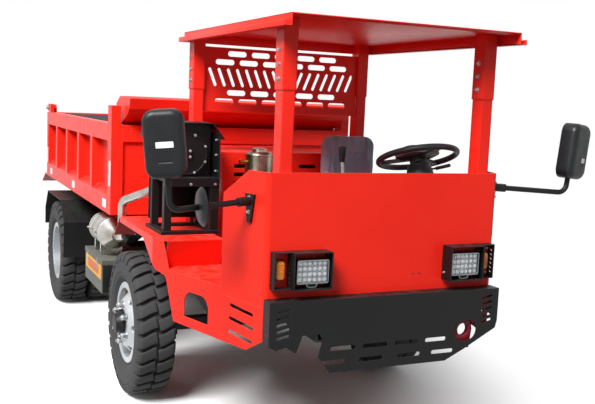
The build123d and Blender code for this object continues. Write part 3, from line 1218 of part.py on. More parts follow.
def bed_sides():
    """Side walls with outside pockets, corner post, rear ear and gate pin."""
    inner = BED_HALF - BED_WALL
    wall = block(inner, BED_HALF, BED_FRONT, BED_REAR, BED_BAND_BOTTOM, BED_RAIL_TOP)
    first = BED_FRONT + CORNER_POST_LENGTH
    pitch = (BED_REAR - RIB_WIDTH - first) / POCKETS
    for i in range(POCKETS):
        y0 = first + i * pitch + (RIB_WIDTH if i else 0)
        y1 = first + (i + 1) * pitch
        pocket = prism([(BED_HALF - POCKET_DEPTH, BED_BAND_TOP + POCKET_DEPTH * 0.6), (BED_HALF, BED_BAND_TOP),
                        (BED_HALF + 1, BED_BAND_TOP), (BED_HALF + 1, BED_RAIL_BOTTOM),
                        (BED_HALF - POCKET_DEPTH, BED_RAIL_BOTTOM)], "Y", y0, y1)
        wall -= pocket
    wall += block(BED_HALF - 60, BED_HALF, BED_FRONT, BED_FRONT + CORNER_POST_LENGTH, BED_BAND_BOTTOM, CORNER_POST_TOP)
    ear = block(inner + 30, BED_HALF - 15, BED_REAR - 90, GATE_HINGE_STATION, GATE_HINGE_Z - GATE_EAR_RADIUS,
                GATE_HINGE_Z + GATE_EAR_RADIUS)
    ear += rod((inner + 30, GATE_HINGE_STATION, GATE_HINGE_Z), (BED_HALF - 15, GATE_HINGE_STATION, GATE_HINGE_Z),
               GATE_EAR_RADIUS)
    ear += block(inner + 30, BED_HALF - 15, BED_REAR - 90, BED_REAR, BED_RAIL_TOP, GATE_HINGE_Z)
    pin = rod((inner - 12, GATE_HINGE_STATION, GATE_HINGE_Z), (inner + 32, GATE_HINGE_STATION, GATE_HINGE_Z),
              GATE_PIN_RADIUS)
    return at_both(wall + ear + pin)


def bed_front_wall():
    """Front wall with the rail band and the flange that carries the visor."""
    half = BED_HALF - BED_WALL
    top = BED_BAND_BOTTOM + BED_FLOOR_THICK
    back = BED_FRONT + WALL_STEP + WALL_PLATE
    wall = block(-half, half, BED_FRONT + WALL_STEP, back, top, WALL_TOP)
    wall += block(-half, half, BED_FRONT, back, BED_RAIL_BOTTOM, WALL_TOP)
    wall += block(-half, half, BED_FRONT, back, top, BED_BAND_TOP)
    return wall + block(-half, half, BED_FRONT, BED_FRONT + WALL_FLANGE, WALL_TOP - WALL_FLANGE_PLATE, WALL_TOP)


def bed_visor():
    """Spill guard that leans forward over the wall, with its end ears."""
    half = BED_HALF - BED_WALL - PLATE
    profile = [(BED_FRONT + back, WALL_TOP + rise) for back, rise in VISOR_SKIN]
    ends = [(BED_FRONT + back, WALL_TOP + rise) for back, rise in (VISOR_EAR_FOOT, VISOR_EAR_HEAD)]
    skin = bent_plate(profile, -PLATE, -half, half)
    ear = prism(profile + ends, "X", half - WALL_FLANGE_PLATE, half)
    return skin + at_both(ear)


def bed_beams():
    """Two long beams with the hinge bores, cross bearers and the hoist's clevis ears."""
    bottom = RAIL_TOP + BED_PAD_HEIGHT
    beam = block(BEAM_OUT - BEAM_WIDTH, BEAM_OUT, BED_FRONT, BEAM_REAR, bottom, BED_BAND_BOTTOM)
    beam -= rod((BEAM_OUT - BEAM_WIDTH - 1, HINGE_STATION, HINGE_Z), (BEAM_OUT + 1, HINGE_STATION, HINGE_Z),
                HINGE_PIN_RADIUS + RUN_GAP)
    beams = at_both(beam)
    front = HOIST_EYE_STATION - HOIST_BEARER_FRONT
    rear = HOIST_EYE_STATION + HOIST_BEARER_REAR
    for y in (BED_FRONT + 40, BED_FRONT + 575, front, rear, HINGE_STATION - 130):
        beams += block(-BEARER_HALF, BEARER_HALF, y, y + BEARER_LENGTH, BED_BAND_BOTTOM - BEARER_DEPTH, BED_BAND_BOTTOM)
    gap = HOIST_EYE_WIDTH / 2 + MOVE_GAP
    lug_half = HOIST_EYE_RADIUS + 5
    for x0 in (HOIST_X + gap, HOIST_X - gap - HOIST_EAR):
        ear = block(x0, x0 + HOIST_EAR, front, rear + BEARER_LENGTH, HOIST_EYE_Z + 10, BED_BAND_BOTTOM)
        ear += block(x0, x0 + HOIST_EAR, HOIST_EYE_STATION - lug_half, HOIST_EYE_STATION + lug_half,
                     HOIST_EYE_Z - lug_half, BED_BAND_BOTTOM)
        beams += at_both(ear)
    return beams


def tailgate():
    """Gate hung from its top pins, with outside ribs."""
    half = BED_HALF - 7
    y0 = BED_REAR + MOVE_GAP
    bottom = BED_BAND_BOTTOM + BED_FLOOR_THICK + 8
    top = GATE_HINGE_Z - GATE_EAR_RADIUS - 8
    gate = block(-half, half, y0, y0 + GATE_THICK, bottom, top)
    bays = 4
    rib = 70.0
    pitch = (2 * half - rib) / bays
    for i in range(bays):
        x0 = -half + rib + i * pitch
        gate -= block(x0, x0 + pitch - rib, y0 + 12, y0 + GATE_THICK + 1, bottom + 90, top - 90)
    inner = BED_HALF - BED_WALL
    arm = block(inner - 10, inner + 30 - MOVE_GAP, y0, GATE_HINGE_STATION + 28, top - 60, GATE_HINGE_Z)
    arm += rod((inner - 10, GATE_HINGE_STATION, GATE_HINGE_Z), (inner + 30 - MOVE_GAP, GATE_HINGE_STATION, GATE_HINGE_Z), 28)
    arm -= rod((inner - 11, GATE_HINGE_STATION, GATE_HINGE_Z), (inner + 31, GATE_HINGE_STATION, GATE_HINGE_Z),
               GATE_PIN_RADIUS + RUN_GAP)
    return gate + at_both(arm)


# Hoist
def hoist_point(along):
    """Point on the hoist's line at rest, a distance from its foot pin, at X = 0."""
    run = Vector(0, HOIST_EYE_STATION - HOIST_STATION, HOIST_EYE_Z - HOIST_Z)
    return Vector(0, HOIST_STATION, HOIST_Z) + run.normalized() * along


def hoist_length():
    return math.hypot(HOIST_EYE_STATION - HOIST_STATION, HOIST_EYE_Z - HOIST_Z)


def hoist_barrel():
    foot, start, end = hoist_point(0), hoist_point(30), hoist_point(BARREL_LENGTH)
    barrel = rod(start, end, BARREL_RADIUS)
    barrel += rod(hoist_point(BARREL_LENGTH - 40), end, BARREL_RADIUS + 7)
    eye = HOIST_EYE_WIDTH / 2 + 10
    barrel += rod((-eye, foot.Y, foot.Z), (eye, foot.Y, foot.Z), HOIST_EYE_RADIUS)
    barrel -= rod((-eye - 1, foot.Y, foot.Z), (eye + 1, foot.Y, foot.Z), HOIST_PIN_RADIUS + RUN_GAP)
    barrel -= rod(hoist_point(90), hoist_point(BARREL_LENGTH + 1), ROD_RADIUS + RUN_GAP)
    return at_both(Pos(HOIST_X, 0, 0) * barrel)


def hoist_rod():
    eye = hoist_point(hoist_length())
    half = HOIST_EYE_WIDTH / 2
    bar = rod(hoist_point(110), hoist_point(hoist_length() - 20), ROD_RADIUS)
    bar += rod((-half, eye.Y, eye.Z), (half, eye.Y, eye.Z), HOIST_EYE_RADIUS)
    return at_both(Pos(HOIST_X, 0, 0) * bar)


def on_front_left(solid):
    return Pos(FRONT_WHEEL_X, FRONT_AXLE_STATION, TYRE_RADIUS) * solid


def on_rear_left(solid):
    return Pos(REAR_OUTER_X, REAR_AXLE_STATION, TYRE_RADIUS) * solid


def right_of(solid):
    return mirror(solid, about=Plane.YZ)


def nodes():
    """Every node's name and solids, at their places behind the front panel."""
    lugged = tyre()
    tyre_front = on_front_left(lugged)
    wheel_front = on_front_left(front_wheel())
    tyres_rear = on_rear_left(lugged + Pos(-TWIN_SPACING, 0, 0) * lugged)
    wheels_rear = on_rear_left(rear_wheels())
    knuckle_left = knuckle()
    return {
        "rails": rails(),
        "crossmembers": crossmembers() + tail_brackets(),
        "front_axle": front_axle(),
        "rear_axle": rear_axle(),
        "leaf_springs": leaf_springs(),
        "knuckle_left": knuckle_left,
        "knuckle_right": right_of(knuckle_left),
        "tie_rod": tie_rod(),
        "tyre_front_left": tyre_front,
        "tyre_front_right": right_of(tyre_front),
        "wheel_front_left": wheel_front,
        "wheel_front_right": right_of(wheel_front),
        "tyres_rear_left": tyres_rear,
        "tyres_rear_right": right_of(tyres_rear),
        "wheels_rear_left": wheels_rear,
        "wheels_rear_right": right_of(wheels_rear),
        "tub": tub(),
        "fenders": fenders(),
        "decks": decks(),
        "cab_floor": cab_floor(),
        "bumper": bumper(),
        "tow_hook": tow_hook(),
        "lamp_boxes": lamp_boxes(),
        "lamp_faces": lamp_faces(),
        "marker_lamps": marker_lamps(),
        "tail_lamps": tail_lamps(),
        "canopy_posts": canopy_posts(),
        "roof": roof(),
        "rear_screen": rear_screen(),
        "radiator_rack": radiator_rack(),
        "radiator": radiator(),
        "engine_hood": engine_hood(),
        "engine": engine(),
        "drive_shaft": drive_shaft(),
        "oil_tank": oil_tank(),
        "seat_base": seat_base(),
        "seat_cushion": seat_cushion(),
        "seat_back": seat_back(),
        "steering_column": steering_column(),
        "steering_wheel": steering_wheel(),
        "gear_lever": gear_lever(),
        "purifier": purifier(),
        "exhaust_pipe": exhaust_pipe(),
        "battery_box": battery_box(),
        "fuel_tank": fuel_tank(),
        "rear_mudguards": rear_mudguards(),
        "mirror_arms": mirror_arms(),
        "mirror_heads": mirror_heads(),
        "bed_floor": bed_floor(),
        "bed_sides": bed_sides(),
        "bed_front_wall": bed_front_wall(),
        "bed_visor": bed_visor(),
        "bed_beams": bed_beams(),
        "tailgate": tailgate(),
        "hoist_barrels": hoist_barrel(),
        "hoist_rods": hoist_rod(),
    }


for name, solid in nodes().items():
    export_step(Pos(0, -ORIGIN_STATION, 0) * solid, f"parts/{name}.step")
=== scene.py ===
"""Mining dump truck: finishes, soft seat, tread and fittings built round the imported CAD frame.

Sizes are in millimetres and points in metres, unless a comment says otherwise.
"""
import logging
import math
from collections.abc import Callable, Sequence
from dataclasses import dataclass, field
from enum import Enum

import bpy
from mathutils import noise, Matrix, Vector


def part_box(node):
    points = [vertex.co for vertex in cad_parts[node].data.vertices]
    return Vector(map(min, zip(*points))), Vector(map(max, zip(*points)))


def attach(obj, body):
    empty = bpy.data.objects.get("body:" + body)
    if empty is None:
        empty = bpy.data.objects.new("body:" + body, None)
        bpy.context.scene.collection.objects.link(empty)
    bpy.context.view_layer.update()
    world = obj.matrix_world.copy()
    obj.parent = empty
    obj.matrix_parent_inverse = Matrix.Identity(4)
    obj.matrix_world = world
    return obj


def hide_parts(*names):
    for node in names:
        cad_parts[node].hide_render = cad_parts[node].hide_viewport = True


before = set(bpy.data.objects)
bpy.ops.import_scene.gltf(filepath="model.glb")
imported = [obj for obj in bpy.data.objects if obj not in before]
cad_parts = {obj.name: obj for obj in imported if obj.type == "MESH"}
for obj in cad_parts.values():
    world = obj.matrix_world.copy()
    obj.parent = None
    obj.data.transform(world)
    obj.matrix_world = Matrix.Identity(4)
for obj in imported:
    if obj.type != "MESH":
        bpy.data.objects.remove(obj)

Piece = bpy.types.Object
Tree = bpy.types.NodeTree
Socket = bpy.types.NodeSocket
Pair = tuple[float, float]
Profile = Sequence[Pair]
Box = tuple[Vector, Vector]

LOG = logging.getLogger("dump_truck")
MM = 0.001
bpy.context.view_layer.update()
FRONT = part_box("tub")[0].y
UP = Vector((0, 0, 1))
LEFT = Vector((1, 0, 0))
REAR = Vector((0, 1, 0))
# A face looks along a direction when its normal's share in that direction is over this
FACES = 0.9
# Points nearer than this are one, in metres
WELD = 1e-5


def at(x: float, station: float, z: float) -> Vector:
    """Point in the frame, in metres.

    Args:
        x: Millimetres to the truck's left.
        station: Millimetres behind the front panel's face.
        z: Millimetres over the ground.

    Returns:
        The point in the row frame.
    """
    return Vector((x * MM, FRONT + station * MM, z * MM))


# Modelling steps
def deselect() -> None:
    """Leave edit mode and deselect every object."""
    if bpy.context.mode != "OBJECT":
        bpy.ops.object.mode_set(mode="OBJECT")
    bpy.ops.object.select_all(action="DESELECT")


def only(piece: Piece) -> None:
    """Make a piece the one selected and active object.

    Args:
        piece: The piece.
    """
    deselect()
    piece.select_set(True)
    bpy.context.view_layer.objects.active = piece


def edit(piece: Piece) -> None:
    """Go into edit mode with all of a piece selected.

    Args:
        piece: The piece.
    """
    only(piece)
    bpy.ops.object.mode_set(mode="EDIT")
    bpy.ops.mesh.select_all(action="SELECT")


def turn_outward() -> None:
    """Make all faces of the piece in edit mode look outward, and leave edit mode."""
    bpy.ops.mesh.select_all(action="SELECT")
    bpy.ops.mesh.normals_make_consistent(inside=False)
    deselect()


def added(name: str) -> Piece:
    """Name the primitive just added and put its place into its mesh.

    Args:
        name: The piece's name.

    Returns:
        The primitive.
    """
    bpy.ops.object.transform_apply(location=True, rotation=True, scale=True)
    piece = bpy.context.object
    piece.name = name
    piece.data.name = name
    return piece


def modify(piece: Piece, kind: str, **settings: object) -> None:
    """Add a modifier and apply it.

    Args:
        piece: The piece to change.
        kind: The modifier's type.
        settings: The modifier's attributes.
    """
    only(piece)
    modifier = piece.modifiers.new(kind.title(), kind)
    for key, value in settings.items():
        setattr(modifier, key, value)
    bpy.ops.object.modifier_apply(modifier=modifier.name)


def rounded(piece: Piece, width: float, segments: int = 2, angle: float = 30) -> Piece:
    """Round a piece's sharp edges.

    Args:
        piece: The piece to round.
        width: Width of the rounding in millimetres.
        segments: Faces across each rounding.
        angle: Smallest angle in degrees of an edge that is rounded.

    Returns:
        The same piece.
    """
    modify(piece, "BEVEL", width=width * MM, segments=segments, limit_method="ANGLE",
           angle_limit=math.radians(angle))
    return piece


def block(name: str, low: Vector, high: Vector, edge: float = 0, segments: int = 2) -> Piece:
    """Box between two corners.

    Args:
        name: The piece's name.
        low: Lowest corner.
        high: Highest corner.
        edge: Rounding of its edges in millimetres.
        segments: Faces across each rounding.

    Returns:
        The new piece.
    """
    deselect()
    bpy.ops.mesh.primitive_cube_add(size=1, location=(low + high) / 2, scale=high - low)
    piece = added(name)
    return rounded(piece, edge, segments) if edge else piece


def drum(name: str, start: Vector, end: Vector, radius: float, sides: int = 32, edge: float = 0) -> Piece:
    """Round bar between two points.

    Args:
        name: The piece's name.
        start: Middle of the first end.
        end: Middle of the other end.
        radius: Radius in millimetres.
        sides: Faces round the bar.
        edge: Rounding of both rims in millimetres.

    Returns:
        The new piece.
    """
    deselect()
    run = end - start
    turn = run.to_track_quat("Z", "Y").to_euler()
    bpy.ops.mesh.primitive_cylinder_add(vertices=sides, radius=radius * MM, depth=run.length,
                                        location=(start + end) / 2, rotation=turn)
    piece = added(name)
    return rounded(piece, edge, angle=50) if edge else piece


def outline_mesh(name: str, points: Sequence[Vector], fill: bool) -> Piece:
    """Closed outline, from a circle with as many corners.

    Args:
        name: The piece's name.
        points: The outline's corners.
        fill: Whether it is a face.

    Returns:
        The new piece.
    """
    deselect()
    bpy.ops.mesh.primitive_circle_add(vertices=len(points), fill_type="NGON" if fill else "NOTHING")
    piece = added(name)
    for vertex, point in zip(piece.data.vertices, points):
        vertex.co = point
    return piece


def plate(name: str, points: Sequence[Vector], thick: Vector, edge: float = 0) -> Piece:
    """Outline drawn out to a plate or a bar.

    Args:
        name: The piece's name.
        points: The outline's corners.
        thick: Where to draw it.
        edge: Rounding of its edges in millimetres.

    Returns:
        The new piece.
    """
    piece = outline_mesh(name, points, True)
    edit(piece)
    bpy.ops.mesh.extrude_region_move(TRANSFORM_OT_translate={"value": thick})
    turn_outward()
    return rounded(piece, edge) if edge else piece


def clean(piece: Piece) -> None:
    """Merge a mesh's doubled points, drop its slivers and loose ends, and turn its faces outward.

    Args:
        piece: The piece.
    """
    edit(piece)
    bpy.ops.mesh.remove_doubles(threshold=WELD)
    bpy.ops.mesh.dissolve_degenerate(threshold=WELD)
    bpy.ops.mesh.delete_loose()
    turn_outward()


def lathe(name: str, profile: Profile, start: Vector, axis: Vector, steps: int = 48) -> Piece:
    """Turned solid.

    Args:
        name: The piece's name.
        profile: Closed outline as (distance along the axis, radius), in millimetres.
        start: Where the distance is zero.
        axis: Direction of the axis.
        steps: Faces round the axis.

    Returns:
        The new piece.
    """
    piece = outline_mesh(name, [Vector((radius, 0, along)) * MM for along, radius in profile], False)
    edit(piece)
    bpy.ops.mesh.spin(steps=steps, angle=2 * math.pi, center=(0, 0, 0), axis=(0, 0, 1))
    clean(piece)
    return moved(piece, facing(start, axis))


def tube(name: str, points: Sequence[Vector], radius: float) -> Piece:
    """Round bar along a smooth curve.

    Args:
        name: The piece's name.
        points: The curve's control points.
        radius: Radius in millimetres.

    Returns:
        The bar as a mesh.
    """
    curve = bpy.data.curves.new(name, "CURVE")
    curve.dimensions = "3D"
    curve.bevel_depth = radius * MM
    curve.bevel_resolution = 3
    curve.resolution_u = 8
    curve.use_fill_caps = True
    spline = curve.splines.new("NURBS")
    spline.points.add(len(points) - 1)
    for knot, point in zip(spline.points, points):
        knot.co = (*point, 1)
    spline.order_u = 3
    spline.use_endpoint_u = True
    piece = bpy.data.objects.new(name, curve)
    bpy.context.scene.collection.objects.link(piece)
    only(piece)
    bpy.ops.object.convert(target="MESH")
    piece = bpy.context.object
    piece.name = name
    return piece


def moved(piece: Piece, matrix: Matrix) -> Piece:
    """Move a piece's mesh, keeping its faces outward when the move mirrors it.

    Args:
        piece: The piece.
        matrix: The move.

    Returns:
        The same piece.
    """
    piece.data.transform(matrix)
    if matrix.determinant() < 0:
        piece.data.flip_normals()
    piece.data.update()
    return piece


def copy_of(piece: Piece, name: str, matrix: Matrix) -> Piece:
    """A moved copy with its own mesh.

    Args:
        piece: The piece to copy.
        name: The copy's name.
        matrix: The copy's move.

    Returns:
        The copy.
    """
    twin = bpy.data.objects.new(name, piece.data.copy())
    bpy.context.scene.collection.objects.link(twin)
    return moved(twin, matrix)


def mirrored(piece: Piece, name: str) -> Piece:
    """The same piece on the truck's other side."""
    return copy_of(piece, name, Matrix.Scale(-1, 4, LEFT))


def both_sides(piece: Piece, name: str) -> Piece:
    """A left piece and its mirror image as one piece."""
    return joined(name, [piece, mirrored(piece, f"{name}.right")])


def joined(name: str, pieces: Sequence[Piece]) -> Piece:
    """Several meshes made one piece.

    Args:
        name: The joined piece's name.
        pieces: The meshes.

    Returns:
        The joined piece.
    """
    deselect()
    for piece in pieces:
        piece.select_set(True)
    bpy.context.view_layer.objects.active = pieces[0]
    bpy.ops.object.join()
    result = bpy.context.object
    result.name = name
    result.data.name = name
    return result


def spread(name: str, model: Piece, places: Sequence[Matrix]) -> Piece:
    """A small model copied to many places and joined as one piece.

    Args:
        name: The joined piece's name.
        model: The model, which is used up.
        places: A matrix for each copy.

    Returns:
        The joined piece.
    """
    copies = [copy_of(model, f"{name}.{i}", place) for i, place in enumerate(places)]
    bpy.data.objects.remove(model)
    return joined(name, copies)


def unpick(piece: Piece, kind: str) -> None:
    """Deselect all of a mesh, so that its faces or edges can be picked in code.

    Args:
        piece: The piece.
        kind: What is picked, FACE or EDGE.
    """
    edit(piece)
    bpy.ops.mesh.select_mode(type=kind)
    bpy.ops.mesh.select_all(action="DESELECT")
    bpy.ops.object.mode_set(mode="OBJECT")


def pick_faces(piece: Piece, test: Callable[[Vector, Vector], bool]) -> None:
    """Go into edit mode with some faces selected.

    Args:
        piece: The piece.
        test: Whether a face with this middle and normal is selected.
    """
    unpick(piece, "FACE")
    for face in piece.data.polygons:
        face.select = test(face.center, face.normal)
    bpy.ops.object.mode_set(mode="EDIT")


def round_corners(piece: Piece, axis: int, width: float, segments: int = 5,
                  test: Callable[[Vector], bool] = lambda middle: True) -> None:
    """Round the edges that run along one axis.

    Args:
        piece: The piece to round.
        axis: Number of the axis.
        width: Width of the rounding in millimetres.
        segments: Faces across each rounding.
        test: Whether an edge with this middle is rounded.
    """
    unpick(piece, "EDGE")
    for edge in piece.data.edges:
        start, end = (piece.data.vertices[i].co for i in edge.vertices)
        run = (end - start).normalized()
        edge.select = abs(run[axis]) > 0.99 and test((start + end) / 2)
    bpy.ops.object.mode_set(mode="EDIT")
    bpy.ops.mesh.bevel(offset=width * MM, segments=segments, affect="EDGES")
    deselect()


def left_box(node: str) -> Box:
    """Space that the left solids of a node on both sides take.

    Args:
        node: The node's name.

    Returns:
        Low and high corner.
    """
    corners = [vertex.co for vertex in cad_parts[node].data.vertices if vertex.co.x > 0]
    return (Vector([min(c[i] for c in corners) for i in range(3)]),
            Vector([max(c[i] for c in corners) for i in range(3)]))


def facing(point: Vector, outward: Vector, turn: float = 0) -> Matrix:
    """Matrix that stands a model made along +Z on a face.

    Args:
        point: Where the model's origin goes.
        outward: The face's normal.
        turn: Degrees that the model turns about the normal.

    Returns:
        The placing matrix.
    """
    stand = outward.to_track_quat("Z", "Y").to_matrix().to_4x4()
    return Matrix.Translation(point) @ stand @ Matrix.Rotation(math.radians(turn), 4, "Z")


def hex_bolt(across: float, height: float) -> Piece:
    """Hexagon head on a washer with a stud end, standing on the origin along +Z.

    Args:
        across: Millimetres across the head's flats.
        height: The head's height in millimetres.

    Returns:
        The bolt.
    """
    radius = across / math.sqrt(3)
    washer = height * 0.22
    head = drum("bolt_head", UP * washer * MM, UP * (washer + height) * MM, radius, 6, height * 0.12)
    ring = drum("bolt_washer", Vector(), UP * washer * MM, radius * 1.25, 20)
    end = drum("bolt_end", UP * height * MM, UP * (height * 1.5) * MM, radius * 0.5, 12)
    return joined("bolt", [head, ring, end])


# Materials
def linear(code: str) -> tuple[float, float, float, float]:
    """Linear colour with full alpha from an sRGB hex value."""
    parts = [int(code[i:i + 2], 16) / 255 for i in (1, 3, 5)]
    return (*[c / 12.92 if c <= 0.04045 else ((c + 0.055) / 1.055) ** 2.4 for c in parts], 1.0)


def feed(tree: Tree, node: bpy.types.Node, links: dict) -> None:
    """Link or set a node's inputs.

    Args:
        tree: The node's tree.
        node: The node.
        links: Input name or number to a socket to link or a value to set.
    """
    for key, value in links.items():
        if isinstance(value, Socket):
            tree.links.new(value, node.inputs[key])
        else:
            node.inputs[key].default_value = value


def add(tree: Tree, kind: str, links: dict | None = None, **settings: object) -> bpy.types.Node:
    """Add one shader node.

    Args:
        tree: The tree that it is added to.
        kind: The node's type without its ShaderNode prefix.
        links: Input name or number to a socket to link or a value to set.
        settings: Attributes of the node.

    Returns:
        The new node.
    """
    made = tree.nodes.new("ShaderNode" + kind)
    for key, value in settings.items():
        setattr(made, key, value)
    feed(tree, made, links or {})
    return made


def span(source: Pair, target: Pair = (0.0, 1.0)) -> dict[str, float]:
    """Settings that map one range of values to another."""
    return {"From Min": source[0], "From Max": source[1], "To Min": target[0], "To Max": target[1]}


def blend(share: Socket, first: object, second: object) -> dict[int, object]:
    """Inputs of a colour mix: the second colour's share, and both colours."""
    return {0: share, 6: first, 7: second}


# Output of a colour mix
RESULT = 2
WHITE = linear("#FFFFFF")
BLACK = linear("#000000")
# Vertex attribute that is 1 on the floor of a tyre's grooves, where shade is painted
PAINTED_GROOVE_SHADE = "painted_groove_shade"


@dataclass(frozen=True)
class Finish:
    """A material: its common name, slot, colour and gloss."""

    name: str
    slot: str | None
    colour: str
    roughness: float
    metallic: float = 0.0

    def material(self) -> bpy.types.Material:
        """The Blender material, made on first use.

        Returns:
            The material.
        """
        if self.name in bpy.data.materials:
            return bpy.data.materials[self.name]
        made = bpy.data.materials.new(self.name)
        made.use_nodes = True
        tree = made.node_tree
        shader = tree.nodes["Principled BSDF"]
        feed(tree, shader, {"Base Color": linear(self.colour), "Roughness": self.roughness,
                            "Metallic": self.metallic})
        feed(tree, shader, self.surface(tree, add(tree, "TexCoord").outputs["Object"]))
        return made

    def gloss(self, lower: float, higher: float) -> Pair:
        """Range of the roughness round its middle value."""
        return self.roughness - lower, self.roughness + higher

    def surface(self, tree: Tree, place: Socket) -> dict:
        """Make the surface's pattern; each kind of finish has its own.

        Args:
            tree: The material's tree.
            place: Place on the object.

        Returns:
            The shader's inputs.
        """
        raise NotImplementedError


@dataclass(frozen=True)
class CoatedSteel(Finish):
    """Sprayed paint on folded plate: orange peel, slow colour drift, dust on tops, lighter edges that are
    part rubbed paint and part painted highlight.
    """

    drift: str = "#D93025"
    # Lighter colour of folded edges: part rubbed paint, part painted highlight of the light that the bends
    # catch
    edge: str = "#F2665A"
    dust: str = "#B8A398"
    dust_share: float = 0.18
    drift_mm: float = 420.0
    grit_mm: float = 60.0
    peel_mm: float = 5.0
    peel_depth_mm: float = 0.05
    fold_mm: float = 3.5
    shine: float = 0.25
    # Cosines of the fold between which the edge turns lighter, part rubbed paint and part painted highlight,
    # and the largest share of the lighter colour
    rub: Pair = (0.995, 0.86)
    rub_share: float = 0.55
    # Dust lies where the face looks up by more than this
    flat: float = 0.55

    def surface(self, tree: Tree, place: Socket) -> dict:
        """Colour drift, dust and lighter edges (part rubbed paint, part painted highlight) in the colour;
        orange peel in the bump.

        Args:
            tree: The material's tree.
            place: Place on the object.

        Returns:
            The shader's inputs.
        """
        normal = add(tree, "NewGeometry").outputs["Normal"]
        fold = add(tree, "Bevel", {"Radius": self.fold_mm * MM}, samples=4).outputs["Normal"]
        drift = add(tree, "TexNoise", {"Vector": place, "Scale": 1 / (self.drift_mm * MM), "Detail": 4.0})
        tone = add(tree, "MapRange", {"Value": drift.outputs["Fac"], **span((0.35, 0.7))})
        paint = add(tree, "Mix", blend(tone.outputs[0], linear(self.colour), linear(self.drift)),
                    data_type="RGBA")
        # Lighten the edges where the rounded normal leaves the face's: part rubbed paint, part painted
        # highlight
        bend = add(tree, "VectorMath", {0: fold, 1: normal}, operation="DOT_PRODUCT")
        rub = add(tree, "MapRange", {"Value": bend.outputs["Value"], **span(self.rub, (0, self.rub_share))})
        edge_worn_and_highlit = add(tree, "Mix", blend(rub.outputs[0], paint.outputs[RESULT], linear(self.edge)),
                    data_type="RGBA")
        grit = add(tree, "TexNoise", {"Vector": place, "Scale": 1 / (self.grit_mm * MM), "Detail": 8.0,
                                      "Roughness": 0.7})
        upward = add(tree, "SeparateXYZ", {0: normal}).outputs["Z"]
        top = add(tree, "MapRange", {"Value": upward, **span((self.flat, 1.0))})
        lain = add(tree, "MapRange", {"Value": grit.outputs["Fac"],
                                      **span((0.42, 0.75), (0, self.dust_share))})
        dusty = add(tree, "Math", {0: top.outputs[0], 1: lain.outputs[0]}, operation="MULTIPLY")
        final = add(tree, "Mix", blend(dusty.outputs[0], edge_worn_and_highlit.outputs[RESULT], linear(self.dust)),
                    data_type="RGBA")
        gloss = add(tree, "MapRange", {"Value": grit.outputs["Fac"],
                                       **span((0.3, 0.75), self.gloss(0.05, 0.1))})
        peel = add(tree, "TexNoise", {"Vector": place, "Scale": 1 / (self.peel_mm * MM), "Detail": 2.0})
        bump = add(tree, "Bump", {"Strength": 0.35, "Distance": self.peel_depth_mm * MM,
                                  "Height": peel.outputs["Fac"], "Normal": fold})
        shine = {} if self.metallic else {"Specular IOR Level": self.shine}
        return {"Base Color": final.outputs[RESULT], "Roughness": gloss.outputs[0],
                "Normal": bump.outputs[0], **shine}


@dataclass(frozen=True)
class BareMetal(Finish):
    """Rolled, cast or plated metal: fine lines or grains with a tarnish tint that comes and goes."""

    tarnish: str = "#8E8A84"
    grain_mm: tuple[float, float, float] = (1.5, 1.5, 1.5)
    depth_mm: float = 0.04
    tarnish_mm: float = 90.0

    def surface(self, tree: Tree, place: Socket) -> dict:
        """Grain in the roughness and bump, tarnish in the colour.

        Args:
            tree: The material's tree.
            place: Place on the object.

        Returns:
            The shader's inputs.
        """
        scale = [1 / (size * MM) for size in self.grain_mm]
        grid = add(tree, "Mapping", {"Vector": place, "Scale": scale})
        grain = add(tree, "TexNoise", {"Vector": grid.outputs[0], "Scale": 1.0, "Detail": 3.0}).outputs["Fac"]
        cloud = add(tree, "TexNoise", {"Vector": place, "Scale": 1 / (self.tarnish_mm * MM), "Detail": 5.0})
        share = add(tree, "MapRange", {"Value": cloud.outputs["Fac"], **span((0.4, 0.7))})
        tint = add(tree, "Mix", blend(share.outputs[0], linear(self.colour), linear(self.tarnish)),
                   data_type="RGBA")
        swing = (self.roughness * 0.75, self.roughness * 1.3)
        gloss = add(tree, "MapRange", {"Value": grain, **span((0.3, 0.7), swing)})
        bump = add(tree, "Bump", {"Strength": 0.4, "Distance": self.depth_mm * MM, "Height": grain})
        return {"Base Color": tint.outputs[RESULT], "Roughness": gloss.outputs[0], "Normal": bump.outputs[0]}


@dataclass(frozen=True)
class MouldedSurface(Finish):
    """Moulded rubber or plastic: pebble grain, a cloudy bloom of dust, painted shade in a tyre's grooves."""

    bloom: str = "#4A4844"
    bloom_mm: float = 70.0
    bloom_share: float = 0.35
    grain_mm: float = 2.0
    depth_mm: float = 0.08
    shine: float = 0.3
    # Painted shade on the floor of a tyre's grooves
    hollow: str = "#0B0B0B"

    def surface(self, tree: Tree, place: Socket) -> dict:
        """Bloom and painted shade of the grooves in the colour, pebbles in the bump.

        Args:
            tree: The material's tree.
            place: Place on the object.

        Returns:
            The shader's inputs.
        """
        cloud = add(tree, "TexNoise", {"Vector": place, "Scale": 1 / (self.bloom_mm * MM), "Detail": 7.0,
                                       "Roughness": 0.65}).outputs["Fac"]
        share = add(tree, "MapRange", {"Value": cloud, **span((0.4, 0.75), (0, self.bloom_share))})
        tint = add(tree, "Mix", blend(share.outputs[0], linear(self.colour), linear(self.bloom)),
                   data_type="RGBA")
        # Darken the marked floors of the grooves with painted shade
        groove_shade_share = add(tree, "Attribute", attribute_name=PAINTED_GROOVE_SHADE)
        deep = add(tree, "Mix", blend(groove_shade_share.outputs["Fac"], tint.outputs[RESULT], linear(self.hollow)),
                   data_type="RGBA")
        pebble = add(tree, "TexVoronoi", {"Vector": place, "Scale": 1 / (self.grain_mm * MM)})
        bump = add(tree, "Bump", {"Strength": 0.5, "Distance": self.depth_mm * MM,
                                  "Height": pebble.outputs["Distance"]})
        gloss = add(tree, "MapRange", {"Value": cloud, **span((0.3, 0.7), self.gloss(0.06, 0.08))})
        return {"Base Color": deep.outputs[RESULT], "Roughness": gloss.outputs[0],
                "Normal": bump.outputs[0], "Specular IOR Level": self.shine}


